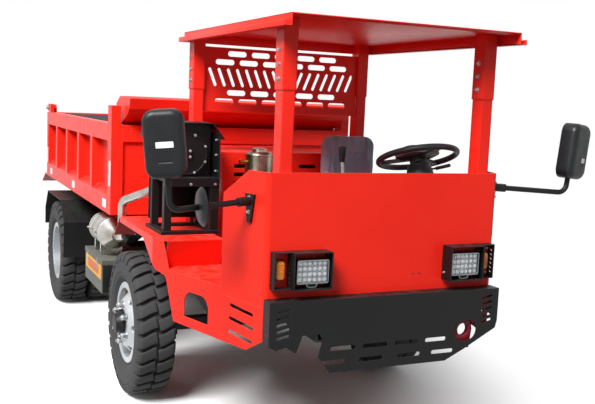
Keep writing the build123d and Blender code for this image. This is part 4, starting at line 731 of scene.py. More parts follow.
@dataclass(frozen=True)
class WovenCloth(Finish):
    """Woven seat cover: crossed threads, drawn coarse at three times their real spacing so that they show."""

    thread: str = "#A2B8C9"
    thread_mm: float = 4.5
    # Waves of the texture in a length of one at a scale of one
    waves: float = 0.32
    fade_mm: float = 120.0
    depth_mm: float = 0.5

    def surface(self, tree: Tree, place: Socket) -> dict:
        """Warp and weft as two crossed waves, with sheen and slow fading.

        Args:
            tree: The material's tree.
            place: Place on the object.

        Returns:
            The shader's inputs.
        """
        threads = []
        for turn in (0, math.radians(90)):
            grid = add(tree, "Mapping", {"Vector": place, "Rotation": (0, turn, 0)})
            wave = add(tree, "TexWave", {"Vector": grid.outputs[0], "Distortion": 0.6, "Detail": 1.0,
                                         "Scale": self.waves / (self.thread_mm * MM)}, bands_direction="X")
            threads.append(wave.outputs["Fac"])
        weave = add(tree, "Math", {0: threads[0], 1: threads[1]}, operation="MULTIPLY").outputs[0]
        fade = add(tree, "TexNoise", {"Vector": place, "Scale": 1 / (self.fade_mm * MM), "Detail": 4.0})
        share = add(tree, "MapRange", {"Value": fade.outputs["Fac"], **span((0.3, 0.75), (0, 0.6))})
        faded = add(tree, "Mix", blend(share.outputs[0], linear(self.colour), linear(self.thread)),
                    data_type="RGBA")
        lit = add(tree, "Mix", blend(weave, faded.outputs[RESULT], linear(self.thread)), data_type="RGBA")
        bump = add(tree, "Bump", {"Strength": 0.5, "Distance": self.depth_mm * MM, "Height": weave})
        return {"Base Color": lit.outputs[RESULT], "Normal": bump.outputs[0], "Sheen Weight": 0.25,
                "Sheen Roughness": 0.5}


@dataclass(frozen=True)
class ClearLens(Finish):
    """Moulded clear or tinted lens: light passes, with faint flow lines from the mould."""

    ior: float = 1.58
    passes: float = 0.9
    flow_mm: float = 14.0
    depth_mm: float = 0.1

    def surface(self, tree: Tree, place: Socket) -> dict:
        """Transmission with a faint bump.

        Args:
            tree: The material's tree.
            place: Place on the object.

        Returns:
            The shader's inputs.
        """
        flow = add(tree, "TexNoise", {"Vector": place, "Scale": 1 / (self.flow_mm * MM), "Detail": 2.0})
        bump = add(tree, "Bump", {"Strength": 0.15, "Distance": self.depth_mm * MM,
                                  "Height": flow.outputs["Fac"]})
        return {"Transmission Weight": self.passes, "IOR": self.ior, "Normal": bump.outputs[0]}


@dataclass(frozen=True)
class PrismTape(Finish):
    """Reflective tape: honeycomb cells under a clear film."""

    rim: str = "#C9CCD0"
    cell_mm: float = 5.0
    depth_mm: float = 0.1

    def surface(self, tree: Tree, place: Socket) -> dict:
        """Cell edges in the colour and the bump.

        Args:
            tree: The material's tree.
            place: Place on the object.

        Returns:
            The shader's inputs.
        """
        cells = add(tree, "TexVoronoi", {"Vector": place, "Scale": 1 / (self.cell_mm * MM),
                                         "Randomness": 0.15}, feature="DISTANCE_TO_EDGE")
        line = add(tree, "MapRange", {"Value": cells.outputs["Distance"], **span((0.02, 0.09))}).outputs[0]
        tint = add(tree, "Mix", blend(line, linear(self.rim), linear(self.colour)), data_type="RGBA")
        bump = add(tree, "Bump", {"Strength": 0.3, "Distance": self.depth_mm * MM, "Height": line})
        return {"Base Color": tint.outputs[RESULT], "Normal": bump.outputs[0], "Coat Weight": 0.6}


# Sprayed enamel: warm red with a soft gloss
RED_ENAMEL = CoatedSteel("red_enamel", "red_paint", "#F12818", 0.36, drift="#E82214", edge="#F4594A")
# The same enamel on square tube, whose drawn corners catch a wide soft line of light
RED_TUBE = CoatedSteel("red_enamel_tube", "red_paint", "#F12818", 0.36, drift="#E82214", edge="#F12818",
                       fold_mm=11.0)
# Powder coat: near black, satin, fine pebble
BLACK_COAT = CoatedSteel("black_powder_coat", "black_paint", "#0E0F10", 0.46, drift="#0B0B0C", edge="#2B2D30",
                         dust="#6B655F", dust_share=0.22, peel_mm=2.0, peel_depth_mm=0.06)
# Primer-dark chassis paint: flat black with road dust
CHASSIS_COAT = CoatedSteel("chassis_black", "black_paint", "#1C1C1D", 0.6, drift="#232221", edge="#3A3937",
                           dust="#7A7167", dust_share=0.45, peel_mm=3.0)
# Dark red enamel on the tow eye: deep and glossy
TOW_ENAMEL = CoatedSteel("tow_red_enamel", "tow_paint", "#7E1020", 0.3, drift="#6A0C1A", edge="#B03A48")
# Bed lining: dark grey paint rubbed by loads, its edges lighter as rubbed paint and painted highlight
BED_LINING = CoatedSteel("dark_bed_paint", None, "#4A4A4D", 0.62, drift="#57565A", edge="#77767A",
                         dust="#8D8782", dust_share=0.4, drift_mm=180.0)
# Wheel lacquer: silver with metal flake, gone dull
WHEEL_LACQUER = CoatedSteel("silver_wheel_lacquer", "silver_paint", "#C3C6C9", 0.38, 0.65, drift="#B2B5B8",
                            edge="#E4E6E8", dust="#A79F94", dust_share=0.3, peel_mm=2.0)
# Grey-green machine paint on the battery box: flat and dusty
MACHINE_GREY = CoatedSteel("grey_green_paint", "black_paint", "#5D615A", 0.5, drift="#535750", edge="#83877F",
                           dust="#8C857A", dust_share=0.3)
# Vinyl sheets: even yellow with an orange field, thin and half glossy
YELLOW_VINYL = CoatedSteel("yellow_vinyl", None, "#E8A62C", 0.4, drift="#DE9A22", edge="#F0BC58", fold_mm=0.8)
ORANGE_VINYL = CoatedSteel("orange_vinyl", None, "#C9641A", 0.4, drift="#BD5A14", edge="#D98040", fold_mm=0.8)
# Stainless sheet: bright, brushed round the drum, warm where it runs hot
STAINLESS = BareMetal("stainless_sheet", "bare_steel", "#C9C8C4", 0.26, 1.0, tarnish="#A89F93",
                      grain_mm=(3.0, 60.0, 3.0), depth_mm=0.02)
# Tinned steel can: brownish, half polished
TIN_STEEL = BareMetal("tinned_steel", "bare_steel", "#B3A795", 0.3, 1.0, tarnish="#7D7266",
                      grain_mm=(3.0, 3.0, 40.0), depth_mm=0.02)
# Zinc-plated fasteners: pale grey with a dull sparkle
ZINC = BareMetal("zinc_plate", "bare_steel", "#C4C6C8", 0.38, 1.0, tarnish="#9A9C9E", tarnish_mm=25.0)
# Hard chrome on the hoist rods: cold, sharp reflections drawn long by grinding
CHROME = BareMetal("hard_chrome_plate", "hard_chrome", "#D5D7DA", 0.08, 1.0, tarnish="#C4C6CA",
                   grain_mm=(4.0, 80.0, 80.0), depth_mm=0.005)
# Turned brass: warm yellow, brown where it has dulled
BRASS = BareMetal("turned_brass", None, "#C69A4A", 0.3, 1.0, tarnish="#8F6E36")
# Painted cast iron: dark, rough from the sand mould
CAST_IRON = BareMetal("painted_cast_iron", "engine_iron", "#3B3D3E", 0.62, 0.25, tarnish="#2B2A29",
                      grain_mm=(4.0, 4.0, 4.0), depth_mm=0.4)
# Vacuum-coated reflector: bright and soft, so that the cups show their slopes
ALUMINIUM_REFLECTOR = BareMetal("vacuum_aluminium", "lamp_glass", "#CACED1", 0.2, 1.0, tarnish="#B2B6B9",
                                tarnish_mm=20.0, depth_mm=0.01)
# Lamp frame: die-cast, bright silver with a satin skin
LAMP_BEZEL = BareMetal("diecast_silver", "lamp_glass", "#989B9D", 0.32, 1.0, tarnish="#85888A",
                       tarnish_mm=30.0)
# Silvered glass: a clear reflection
MIRROR_GLASS = BareMetal("silvered_glass", None, "#E2E6E8", 0.03, 1.0, tarnish="#DADEE0", depth_mm=0.002)
# Tyre rubber: near black, dull, with a dusty bloom and painted shade in the grooves
TYRE_RUBBER = MouldedSurface("tyre_rubber", "tyre_rubber", "#2B2B2C", 0.72, bloom="#55514B")
# Grained plastic: black with a broken soft shine
BLACK_PLASTIC = MouldedSurface("grained_black_plastic", "black_plastic", "#1E2023", 0.48, bloom="#2C2E31",
                               grain_mm=1.6, depth_mm=0.05)
# Soft plastic pad: mid grey, dull
GREY_PLASTIC = MouldedSurface("grey_wheel_pad", "black_plastic", "#656D76", 0.5, bloom="#737B84",
                              grain_mm=1.6)
# Mirror shells: smooth slate-coloured plastic with a broad soft shine
MIRROR_PLASTIC = MouldedSurface("slate_mirror_plastic", "black_plastic", "#0F1215", 0.42, bloom="#171B1F",
                                grain_mm=1.6, depth_mm=0.02, bloom_share=0.5)
# Seat cover: blue-grey weave with a faint sheen
SEAT_CLOTH = WovenCloth("grey_seat_cloth", "seat_fabric", "#7890A4", 0.85)
# Lenses: clear polycarbonate that shows what lies behind, and tinted acrylic that shows mostly its own colour
LAMP_LENS = ClearLens("clear_polycarbonate", "lamp_glass", "#F4F6F8", 0.05, passes=0.95)
AMBER_LENS = ClearLens("amber_acrylic", "amber_lens", "#F58A10", 0.14, ior=1.49, passes=0.15)
RED_LENS = ClearLens("red_acrylic", "red_lens", "#C8141C", 0.14, ior=1.49, passes=0.3)
# LED domes: clear white, so that each shows as a bright point in its cup
LED_WHITE = MouldedSurface("white_led_dome", "lamp_glass", "#FBFCFC", 0.2, bloom="#F2F4F5", shine=0.5)
# Prism tape: white with a fine net of grey cell walls
WHITE_TAPE = PrismTape("white_prism_tape", None, "#F2F3F4", 0.35)
# Label: plain white with hardly any pattern
WHITE_PAPER = PrismTape("white_blank_label", None, "#ECEDEE", 0.55, rim="#E4E5E7", cell_mm=1.5)

NODE_FINISHES: dict[Finish, tuple[str, ...]] = {
    RED_ENAMEL: ("tub", "fenders", "decks", "cab_floor", "roof", "rear_screen", "engine_hood",
                 "bed_floor", "bed_sides", "bed_front_wall", "bed_visor", "bed_beams", "tailgate"),
    RED_TUBE: ("canopy_posts",),
    BLACK_COAT: ("bumper", "lamp_boxes", "radiator_rack", "radiator", "rear_mudguards", "mirror_arms",
                 "seat_base", "steering_column"),
    CHASSIS_COAT: ("rails", "crossmembers", "front_axle", "rear_axle", "leaf_springs", "knuckle_left",
                   "knuckle_right", "tie_rod", "drive_shaft", "hoist_barrels", "fuel_tank"),
    TOW_ENAMEL: ("tow_hook",),
    WHEEL_LACQUER: ("wheel_front_left", "wheel_front_right", "wheels_rear_left", "wheels_rear_right"),
    TYRE_RUBBER: ("tyre_front_left", "tyre_front_right", "tyres_rear_left", "tyres_rear_right"),
    MACHINE_GREY: ("battery_box",),
    STAINLESS: ("purifier", "exhaust_pipe"),
    TIN_STEEL: ("oil_tank",),
    ZINC: ("gear_lever",),
    CHROME: ("hoist_rods",),
    CAST_IRON: ("engine",),
    BLACK_PLASTIC: ("mirror_heads", "steering_wheel"),
    SEAT_CLOTH: ("seat_cushion", "seat_back"),
    LAMP_LENS: ("lamp_faces",),
    AMBER_LENS: ("marker_lamps",),
    RED_LENS: ("tail_lamps",),
}


def dress(piece: Piece, finish: Finish, *stands_for: str, body: str = "chassis", angle: float = 35) -> Piece:
    """Finish a piece and hang it on its body.

    Args:
        piece: The finished mesh.
        finish: Its material.
        stands_for: CAD nodes that it replaces.
        body: The CAD body that it rides on.
        angle: Edges sharper than this many degrees stay sharp.

    Returns:
        The same piece.
    """
    piece.data.materials.clear()
    piece.data.materials.append(finish.material())
    only(piece)
    bpy.ops.object.shade_smooth_by_angle(angle=math.radians(angle))
    deselect()
    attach(piece, body)
    if stands_for:
        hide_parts(*stands_for)
    LOG.info("%s: %d faces in %s on %s", piece.name, len(piece.data.polygons), finish.name, body)
    return piece


def finish_nodes() -> None:
    """Give every CAD node its material."""
    for finish, names in NODE_FINISHES.items():
        for name in names:
            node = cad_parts[name]
            node.data.materials.clear()
            node.data.materials.append(finish.material())


class Side(Enum):
    """The truck's two sides, by the sign of X."""

    RIGHT = -1
    LEFT = 1

    @property
    def word(self) -> str:
        """The side's name in node names."""
        return self.name.lower()

    @property
    def matrix(self) -> Matrix:
        """Matrix that takes a left piece to this side."""
        return Matrix.Scale(self.value, 4, LEFT)


# Studio
@dataclass
class Studio:
    """Pale floor, soft sky and one large lamp from the photograph's left; sizes in metres."""

    floor_size: float = 60.0
    floor_drop: float = 0.001
    floor_bounce: str = "#605D5A"
    # Half sides of the ground under the truck, and the shares of them between which it fades to white
    ground: Pair = (1.9, 3.3)
    fade: Pair = (0.5, 1.0)
    sky_strength: float = 0.29
    lamp_place: tuple[float, float, float] = (-7.0, -6.2, 10.0)
    lamp_aim: tuple[float, float, float] = (0.0, -0.5, 0.9)
    lamp_size: float = 6.0
    lamp_power: float = 3150.0

    def build(self) -> None:
        """Make the floor, sky and lamp."""
        self.floor()
        self.sky()
        self.lamp()

    def seen(self, tree: Tree) -> Socket:
        """Tell the rays that show a surface from those that only light others.

        Args:
            tree: Tree of the floor or the sky.

        Returns:
            1 for a ray that shows it, straight, mirrored or through glass.
        """
        path = add(tree, "LightPath")
        seen = path.outputs["Is Camera Ray"]
        for way in ("Is Glossy Ray", "Is Transmission Ray"):
            seen = add(tree, "Math", {0: seen, 1: path.outputs[way]}, operation="MAXIMUM").outputs[0]
        return seen

    def floor(self) -> None:
        """Floor that the camera sees as pale, and that throws back less light than it shows."""
        deselect()
        bpy.ops.mesh.primitive_plane_add(size=self.floor_size)
        ground = added("studio_floor")
        ground.location.z = -self.floor_drop
        material = bpy.data.materials.new("pale_floor")
        material.use_nodes = True
        tree = material.node_tree
        seen = self.seen(tree)
        shade = add(tree, "Mix", blend(seen, linear(self.floor_bounce), WHITE), data_type="RGBA")
        scale = [1 / side for side in self.ground] + [1]
        away = add(tree, "Mapping", {"Vector": add(tree, "TexCoord").outputs["Object"], "Scale": scale})
        far = add(tree, "VectorMath", {0: away.outputs[0]}, operation="LENGTH")
        fade = add(tree, "MapRange", {"Value": far.outputs["Value"], **span(self.fade)},
                   interpolation_type="SMOOTHSTEP")
        white = add(tree, "Math", {0: fade.outputs[0], 1: seen}, operation="MULTIPLY").outputs[0]
        dark = add(tree, "Mix", blend(white, shade.outputs[RESULT], BLACK), data_type="RGBA")
        feed(tree, tree.nodes["Principled BSDF"], {
            "Base Color": dark.outputs[RESULT], "Roughness": 0.9, "Specular IOR Level": 0.1,
            "Emission Color": WHITE, "Emission Strength": white})
        ground.data.materials.append(material)

    def sky(self) -> None:
        """Even light all round, seen as white."""
        world = bpy.data.worlds.new("studio_sky")
        bpy.context.scene.world = world
        world.use_nodes = True
        tree = world.node_tree
        strength = add(tree, "MapRange", {"Value": self.seen(tree), **span((0, 1), (self.sky_strength, 1))})
        feed(tree, tree.nodes["Background"], {"Color": WHITE, "Strength": strength.outputs[0]})

    def lamp(self) -> None:
        """One large soft lamp, high on the side that the photograph lights."""
        light = bpy.data.lights.new("key_lamp", "AREA")
        light.shape = "DISK"
        light.size = self.lamp_size
        light.energy = self.lamp_power
        holder = bpy.data.objects.new("key_lamp", light)
        holder.location = self.lamp_place
        aim = Vector(self.lamp_aim) - holder.location
        holder.rotation_euler = aim.to_track_quat("-Z", "Y").to_euler()
        bpy.context.scene.collection.objects.link(holder)


@dataclass
class PhotoCamera:
    """Camera at the photograph's place: angles in degrees, focal length in image widths."""

    place: Vector = field(default_factory=lambda: at(-1975, -3261, 1682))
    yaw: float = -24.936
    pitch: float = -6.796
    roll: float = 2.447
    focal: float = 838.893 / 595
    sensor: float = 36.0
    reach: float = 200.0

    def build(self) -> None:
        """Make the camera and set it as the scene's."""
        lens = bpy.data.cameras.new("photo_camera")
        lens.sensor_width = self.sensor
        lens.lens = self.focal * self.sensor
        lens.clip_end = self.reach
        yaw, pitch, roll = (math.radians(a) for a in (self.yaw, self.pitch, self.roll))
        level = Vector((-math.sin(yaw), math.cos(yaw), 0))
        ahead = level * math.cos(pitch) + UP * math.sin(pitch)
        right = ahead.cross(UP).normalized()
        head = right.cross(ahead)
        side = right * math.cos(roll) + head * math.sin(roll)
        crown = head * math.cos(roll) - right * math.sin(roll)
        holder = bpy.data.objects.new("photo_camera", lens)
        turn = Matrix((side, crown, -ahead)).transposed().to_4x4()
        holder.matrix_world = Matrix.Translation(self.place) @ turn
        bpy.context.scene.collection.objects.link(holder)
        bpy.context.scene.camera = holder


# Running gear
@dataclass
class LugTyre:
    """Mine tyre with two stepped rows of slanted lugs, made at the origin on X."""

    lugs: int = 30
    radius: float = 402.0
    depth: float = 23.0
    edge: float = 2.5
    row_step: float = 14.0
    sway: float = 3.0
    # The carcass gets painted shade outside this radius
    groove_from: float = 352.0
    cells: int = 3
    steps: int = 90
    carcass: Profile = (
        (75.7, 204.3), (75.7, 232), (83, 238), (86, 246), (93, 252), (94, 258), (98, 262), (102, 285),
        (104, 287), (104.6, 300), (104, 322), (102.5, 338), (103.5, 341), (101.5, 347), (97, 360), (91, 371),
        (82, 378), (50, 380))
    # Corners of a lug in plan: across from the middle plane, round from the lug's middle
    plan: Profile = ((1, -12), (11, 46), (108, 12), (108, -46))
    # Top of a lug from the middle to the sidewall: across, radius
    crest: Profile = (
        (1, 402), (24, 402), (46, 402), (68, 401.5), (86, 398), (98, 387), (103.5, 368), (106, 351))

    def tread_point(self, row: int, share: float) -> Vector:
        """Point on a lug's top.

        Args:
            row: Number of the crest's row.
            share: Place between the lug's two long edges, from 0 to 1.

        Returns:
            The point on the wheel's top, in metres.
        """
        (low_x, low_t), (high_x, high_t), (out_x, high_end), (_, low_end) = self.plan
        x, top = self.crest[row]
        x += (high_x - low_x) * share if row == 0 else 0
        low = low_t + (low_end - low_t) * (x - low_x) / (out_x - low_x)
        high = high_t + (high_end - high_t) * (x - high_x) / (out_x - high_x)
        bow = self.sway * math.sin(2 * math.pi * x / out_x)
        turn = (low + (high - low) * share + bow) / self.radius
        return Vector((x, top * math.sin(turn), top * math.cos(turn))) * MM

    def lug(self) -> Piece:
        """One lug at the tyre's top in the left row.

        Returns:
            The lug.
        """
        deselect()
        rows = len(self.crest) - 1
        bpy.ops.mesh.primitive_grid_add(x_subdivisions=rows, y_subdivisions=self.cells, size=1)
        piece = added("lug")
        for vertex in piece.data.vertices:
            vertex.co = self.tread_point(round((vertex.co.x + 0.5) * rows), vertex.co.y + 0.5)
        modify(piece, "SOLIDIFY", thickness=self.depth * MM, offset=-1, use_even_offset=False)
        return rounded(piece, self.edge, angle=40)

    def build(self) -> Piece:
        """The whole tyre, with a lug's corner on the ground.

        Returns:
            The tyre.
        """
        outline = list(self.carcass) + [(-x, r) for x, r in reversed(self.carcass)]
        tyre = lathe("tyre", outline, Vector(), LEFT, self.steps)
        # Mark the carcass between the lugs for painted shade
        painted_groove_shade = tyre.data.attributes.new(PAINTED_GROOVE_SHADE, "FLOAT", "POINT")
        for vertex, share in zip(tyre.data.vertices, painted_groove_shade.data):
            share.value = float(vertex.co.yz.length > self.groove_from * MM)
        pitch = 2 * math.pi / self.lugs
        lowest = math.pi + math.asin(max(t for _, t in self.plan) / self.radius)
        other = Matrix.Rotation(-self.row_step / self.radius, 4, "X") @ Matrix.Rotation(math.pi, 4, "Z")
        places = [Matrix.Rotation(lowest + pitch * i, 4, "X") for i in range(self.lugs)]
        tread = spread("tread", self.lug(), places + [place @ other for place in places])
        return joined("tyre", [tyre, tread])


@dataclass
class Hub:
    """An end of an axle: its side, the middle of its tyre or of the outer twin, and its body."""

    side: Side
    centre: Vector
    body: str

    @property
    def out(self) -> Vector:
        """Direction of the wheel's outer side."""
        return LEFT * self.side.value

    def ring(self, along: float, radius: float, share: float) -> Vector:
        """Point round the axle: how far out along it, how far from it, and at which share of a turn."""
        spoke = Matrix.Rotation(2 * math.pi * share, 3, "X") @ REAR
        return self.centre + (self.out * along + spoke * radius) * MM

    def bolts(self, name: str, size: Pair, ring: Pair, count: int, twist: float, lead: float = 0) -> Piece:
        """Bolts round the axle.

        Args:
            name: The piece's name.
            size: Across the flats and height of a bolt.
            ring: Place along the axle and radius of their circle.
            count: How many there are.
            twist: Degrees that each is turned from the last.
            lead: Share of the spacing by which the first is moved on.

        Returns:
            The bolts as one piece.
        """
        places = [facing(self.ring(*ring, (i + lead) / count), self.out, twist * i) for i in range(count)]
        return spread(name, hex_bolt(*size), places)


@dataclass
class Wheels:
    """Tyres, front wheels, hub covers, nuts and valves on the four corners."""

    hand_holes: int = 6
    hand_hole_circle: float = 158.0
    hand_hole_radius: float = 20.0
    cutter_end: float = 120.0
    # Rim, dished disc, hub barrel and hub cover of a front wheel: along the axle, radius
    rim: Profile = (
        (84, 195.5), (84.5, 226), (82, 229), (78, 229), (76, 226), (76, 204), (-76, 204), (-76, 226),
        (-78, 229), (-82, 229), (-84.5, 226), (-84, 195.5))
    disc: Profile = (
        (100, 75), (100, 116), (97, 124), (90, 134), (66, 160), (44, 181), (36, 188), (30, 195.8),
        (20, 195.8), (27, 185), (57, 156), (81, 130), (90, 116), (90, 75))
    barrel: Profile = ((-70, 32), (-70, 76), (99, 76), (99, 32))
    hub: Profile = (
        (99.5, 0), (99.5, 77), (112, 77), (114, 63), (130, 58), (136, 54), (145, 51), (148.5, 46), (148.5, 0))
    nuts: int = 6
    nut: Pair = (30.0, 24.0)
    nut_circle: float = 103.0
    front_nuts_along: float = 100.0
    # The rear discs meet half-way between the twins, and the nuts stand on the outer one
    rear_disc: float = 10.0
    twin_spacing: float = 245.0
    hub_bolts: int = 8
    # Hub bolts: across the flats and height; along the axle and radius of their circle
    front_hub_bolt: Pair = (10.0, 7.0)
    front_hub_ring: Pair = (112.0, 70.0)
    rear_hub_bolt: Pair = (11.0, 8.0)
    rear_hub_ring: Pair = (-38.0, 51.0)
    valve: Profile = ((0, 0), (0, 7), (6, 7), (8, 4), (28, 4), (29, 5.5), (39, 5.5), (41, 4), (41, 0))
    # Foot and end of a valve from its place: along the axle and radius
    valve_lean: tuple[Pair, ...] = ((-30.0, 194.0), (6.0, 172.0))
    valve_turn: float = 0.17
    valve_along: float = 70.0
    tyre: LugTyre = field(default_factory=LugTyre)

    def build(self) -> None:
        """Fit every wheel."""
        tyre = self.tyre.build()
        for side in Side:
            self.front(side, tyre)
            self.rear(side, tyre)
        bpy.data.objects.remove(tyre)

    def centre(self, node: str, x: float) -> Vector:
        """Middle of a wheel at a distance x from the truck's middle plane, in metres."""
        low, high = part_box(node)
        return Vector((x, (low.y + high.y) / 2, self.tyre.radius * MM))

    def front(self, side: Side, tyre: Piece) -> None:
        """Single front wheel with its bolted hub cover.

        Args:
            side: The truck's side.
            tyre: The tyre to copy.
        """
        word, node = side.word, f"tyre_front_{side.word}"
        low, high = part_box(node)
        hub = Hub(side, self.centre(node, (low.x + high.x) / 2), f"front_{word}_wheel")
        place = Matrix.Translation(hub.centre) @ side.matrix
        dress(copy_of(tyre, f"lug_tyre_front_{word}", place), TYRE_RUBBER, node, body=hub.body, angle=30)
        dress(self.steel_wheel(f"steel_wheel_front_{word}", hub), WHEEL_LACQUER, f"wheel_front_{word}",
              body=hub.body)
        cover = lathe("hub", self.hub, hub.centre, hub.out, 40)
        bolts = hub.bolts("hub_bolts", self.front_hub_bolt, self.front_hub_ring, self.hub_bolts, 20)
        dress(joined(f"hub_cover_{word}", [cover, bolts]), BLACK_COAT, body=hub.body)
        self.fit(hub, f"front_{word}", self.front_nuts_along, self.valve_along)

    def steel_wheel(self, name: str, hub: Hub) -> Piece:
        """Front rim with its disc dished outward and round hand holes cut through.

        Args:
            name: The piece's name.
            hub: The wheel's hub.

        Returns:
            The wheel.
        """
        disc = lathe("disc", self.disc, hub.centre, hub.out, 72)
        ends = [[hub.ring(along, self.hand_hole_circle, i / self.hand_holes)
                 for along in (0, self.cutter_end)] for i in range(self.hand_holes)]
        cutters = joined("cutters", [drum("cutter", *pair, self.hand_hole_radius, 24) for pair in ends])
        modify(disc, "BOOLEAN", object=cutters, operation="DIFFERENCE", solver="EXACT")
        bpy.data.objects.remove(cutters)
        clean(disc)
        rim = lathe("rim", self.rim, hub.centre, hub.out, 72)
        return joined(name, [rim, disc, lathe("barrel", self.barrel, hub.centre, hub.out, 40)])

    def rear(self, side: Side, tyre: Piece) -> None:
        """Twin rear wheels, with nuts deep in the outer dish and bolts on the hub's end.

        Args:
            side: The truck's side.
            tyre: The tyre to copy.
        """
        word, node = side.word, f"tyres_rear_{side.word}"
        low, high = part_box(node)
        edge = max(abs(low.x), abs(high.x)) - (high.x - low.x - self.twin_spacing * MM) / 2
        hub = Hub(side, self.centre(node, side.value * edge), f"rear_{word}_wheels")
        inner = hub.centre - hub.out * self.twin_spacing * MM
        twins = [copy_of(tyre, "twin", Matrix.Translation(place) @ side.matrix)
                 for place in (hub.centre, inner)]
        dress(joined(f"lug_tyres_rear_{word}", twins), TYRE_RUBBER, node, body=hub.body, angle=30)
        self.fit(hub, f"rear_{word}", self.rear_disc - self.twin_spacing / 2, -self.valve_along)
        bolts = hub.bolts(f"hub_bolts_rear_{word}", self.rear_hub_bolt, self.rear_hub_ring, self.hub_bolts,
                          25)
        dress(bolts, ZINC, body=hub.body)

    def fit(self, hub: Hub, word: str, disc: float, valve: float) -> None:
        """Wheel nuts with stud ends on the disc's flat, and a brass valve that leans out of the rim.

        Args:
            hub: The wheel's hub.
            word: The wheel's word in piece names.
            disc: Place of the disc's flat along the axle.
            valve: Place of the valve along the axle.
        """
        nuts = hub.bolts(f"wheel_nuts_{word}", self.nut, (disc, self.nut_circle), self.nuts, 60, 0.5)
        dress(nuts, ZINC, body=hub.body)
        foot, end = (hub.ring(valve + step, radius, self.valve_turn) for step, radius in self.valve_lean)
        dress(lathe(f"valve_{word}", self.valve, foot, end - foot, 16), BRASS, body=hub.body)


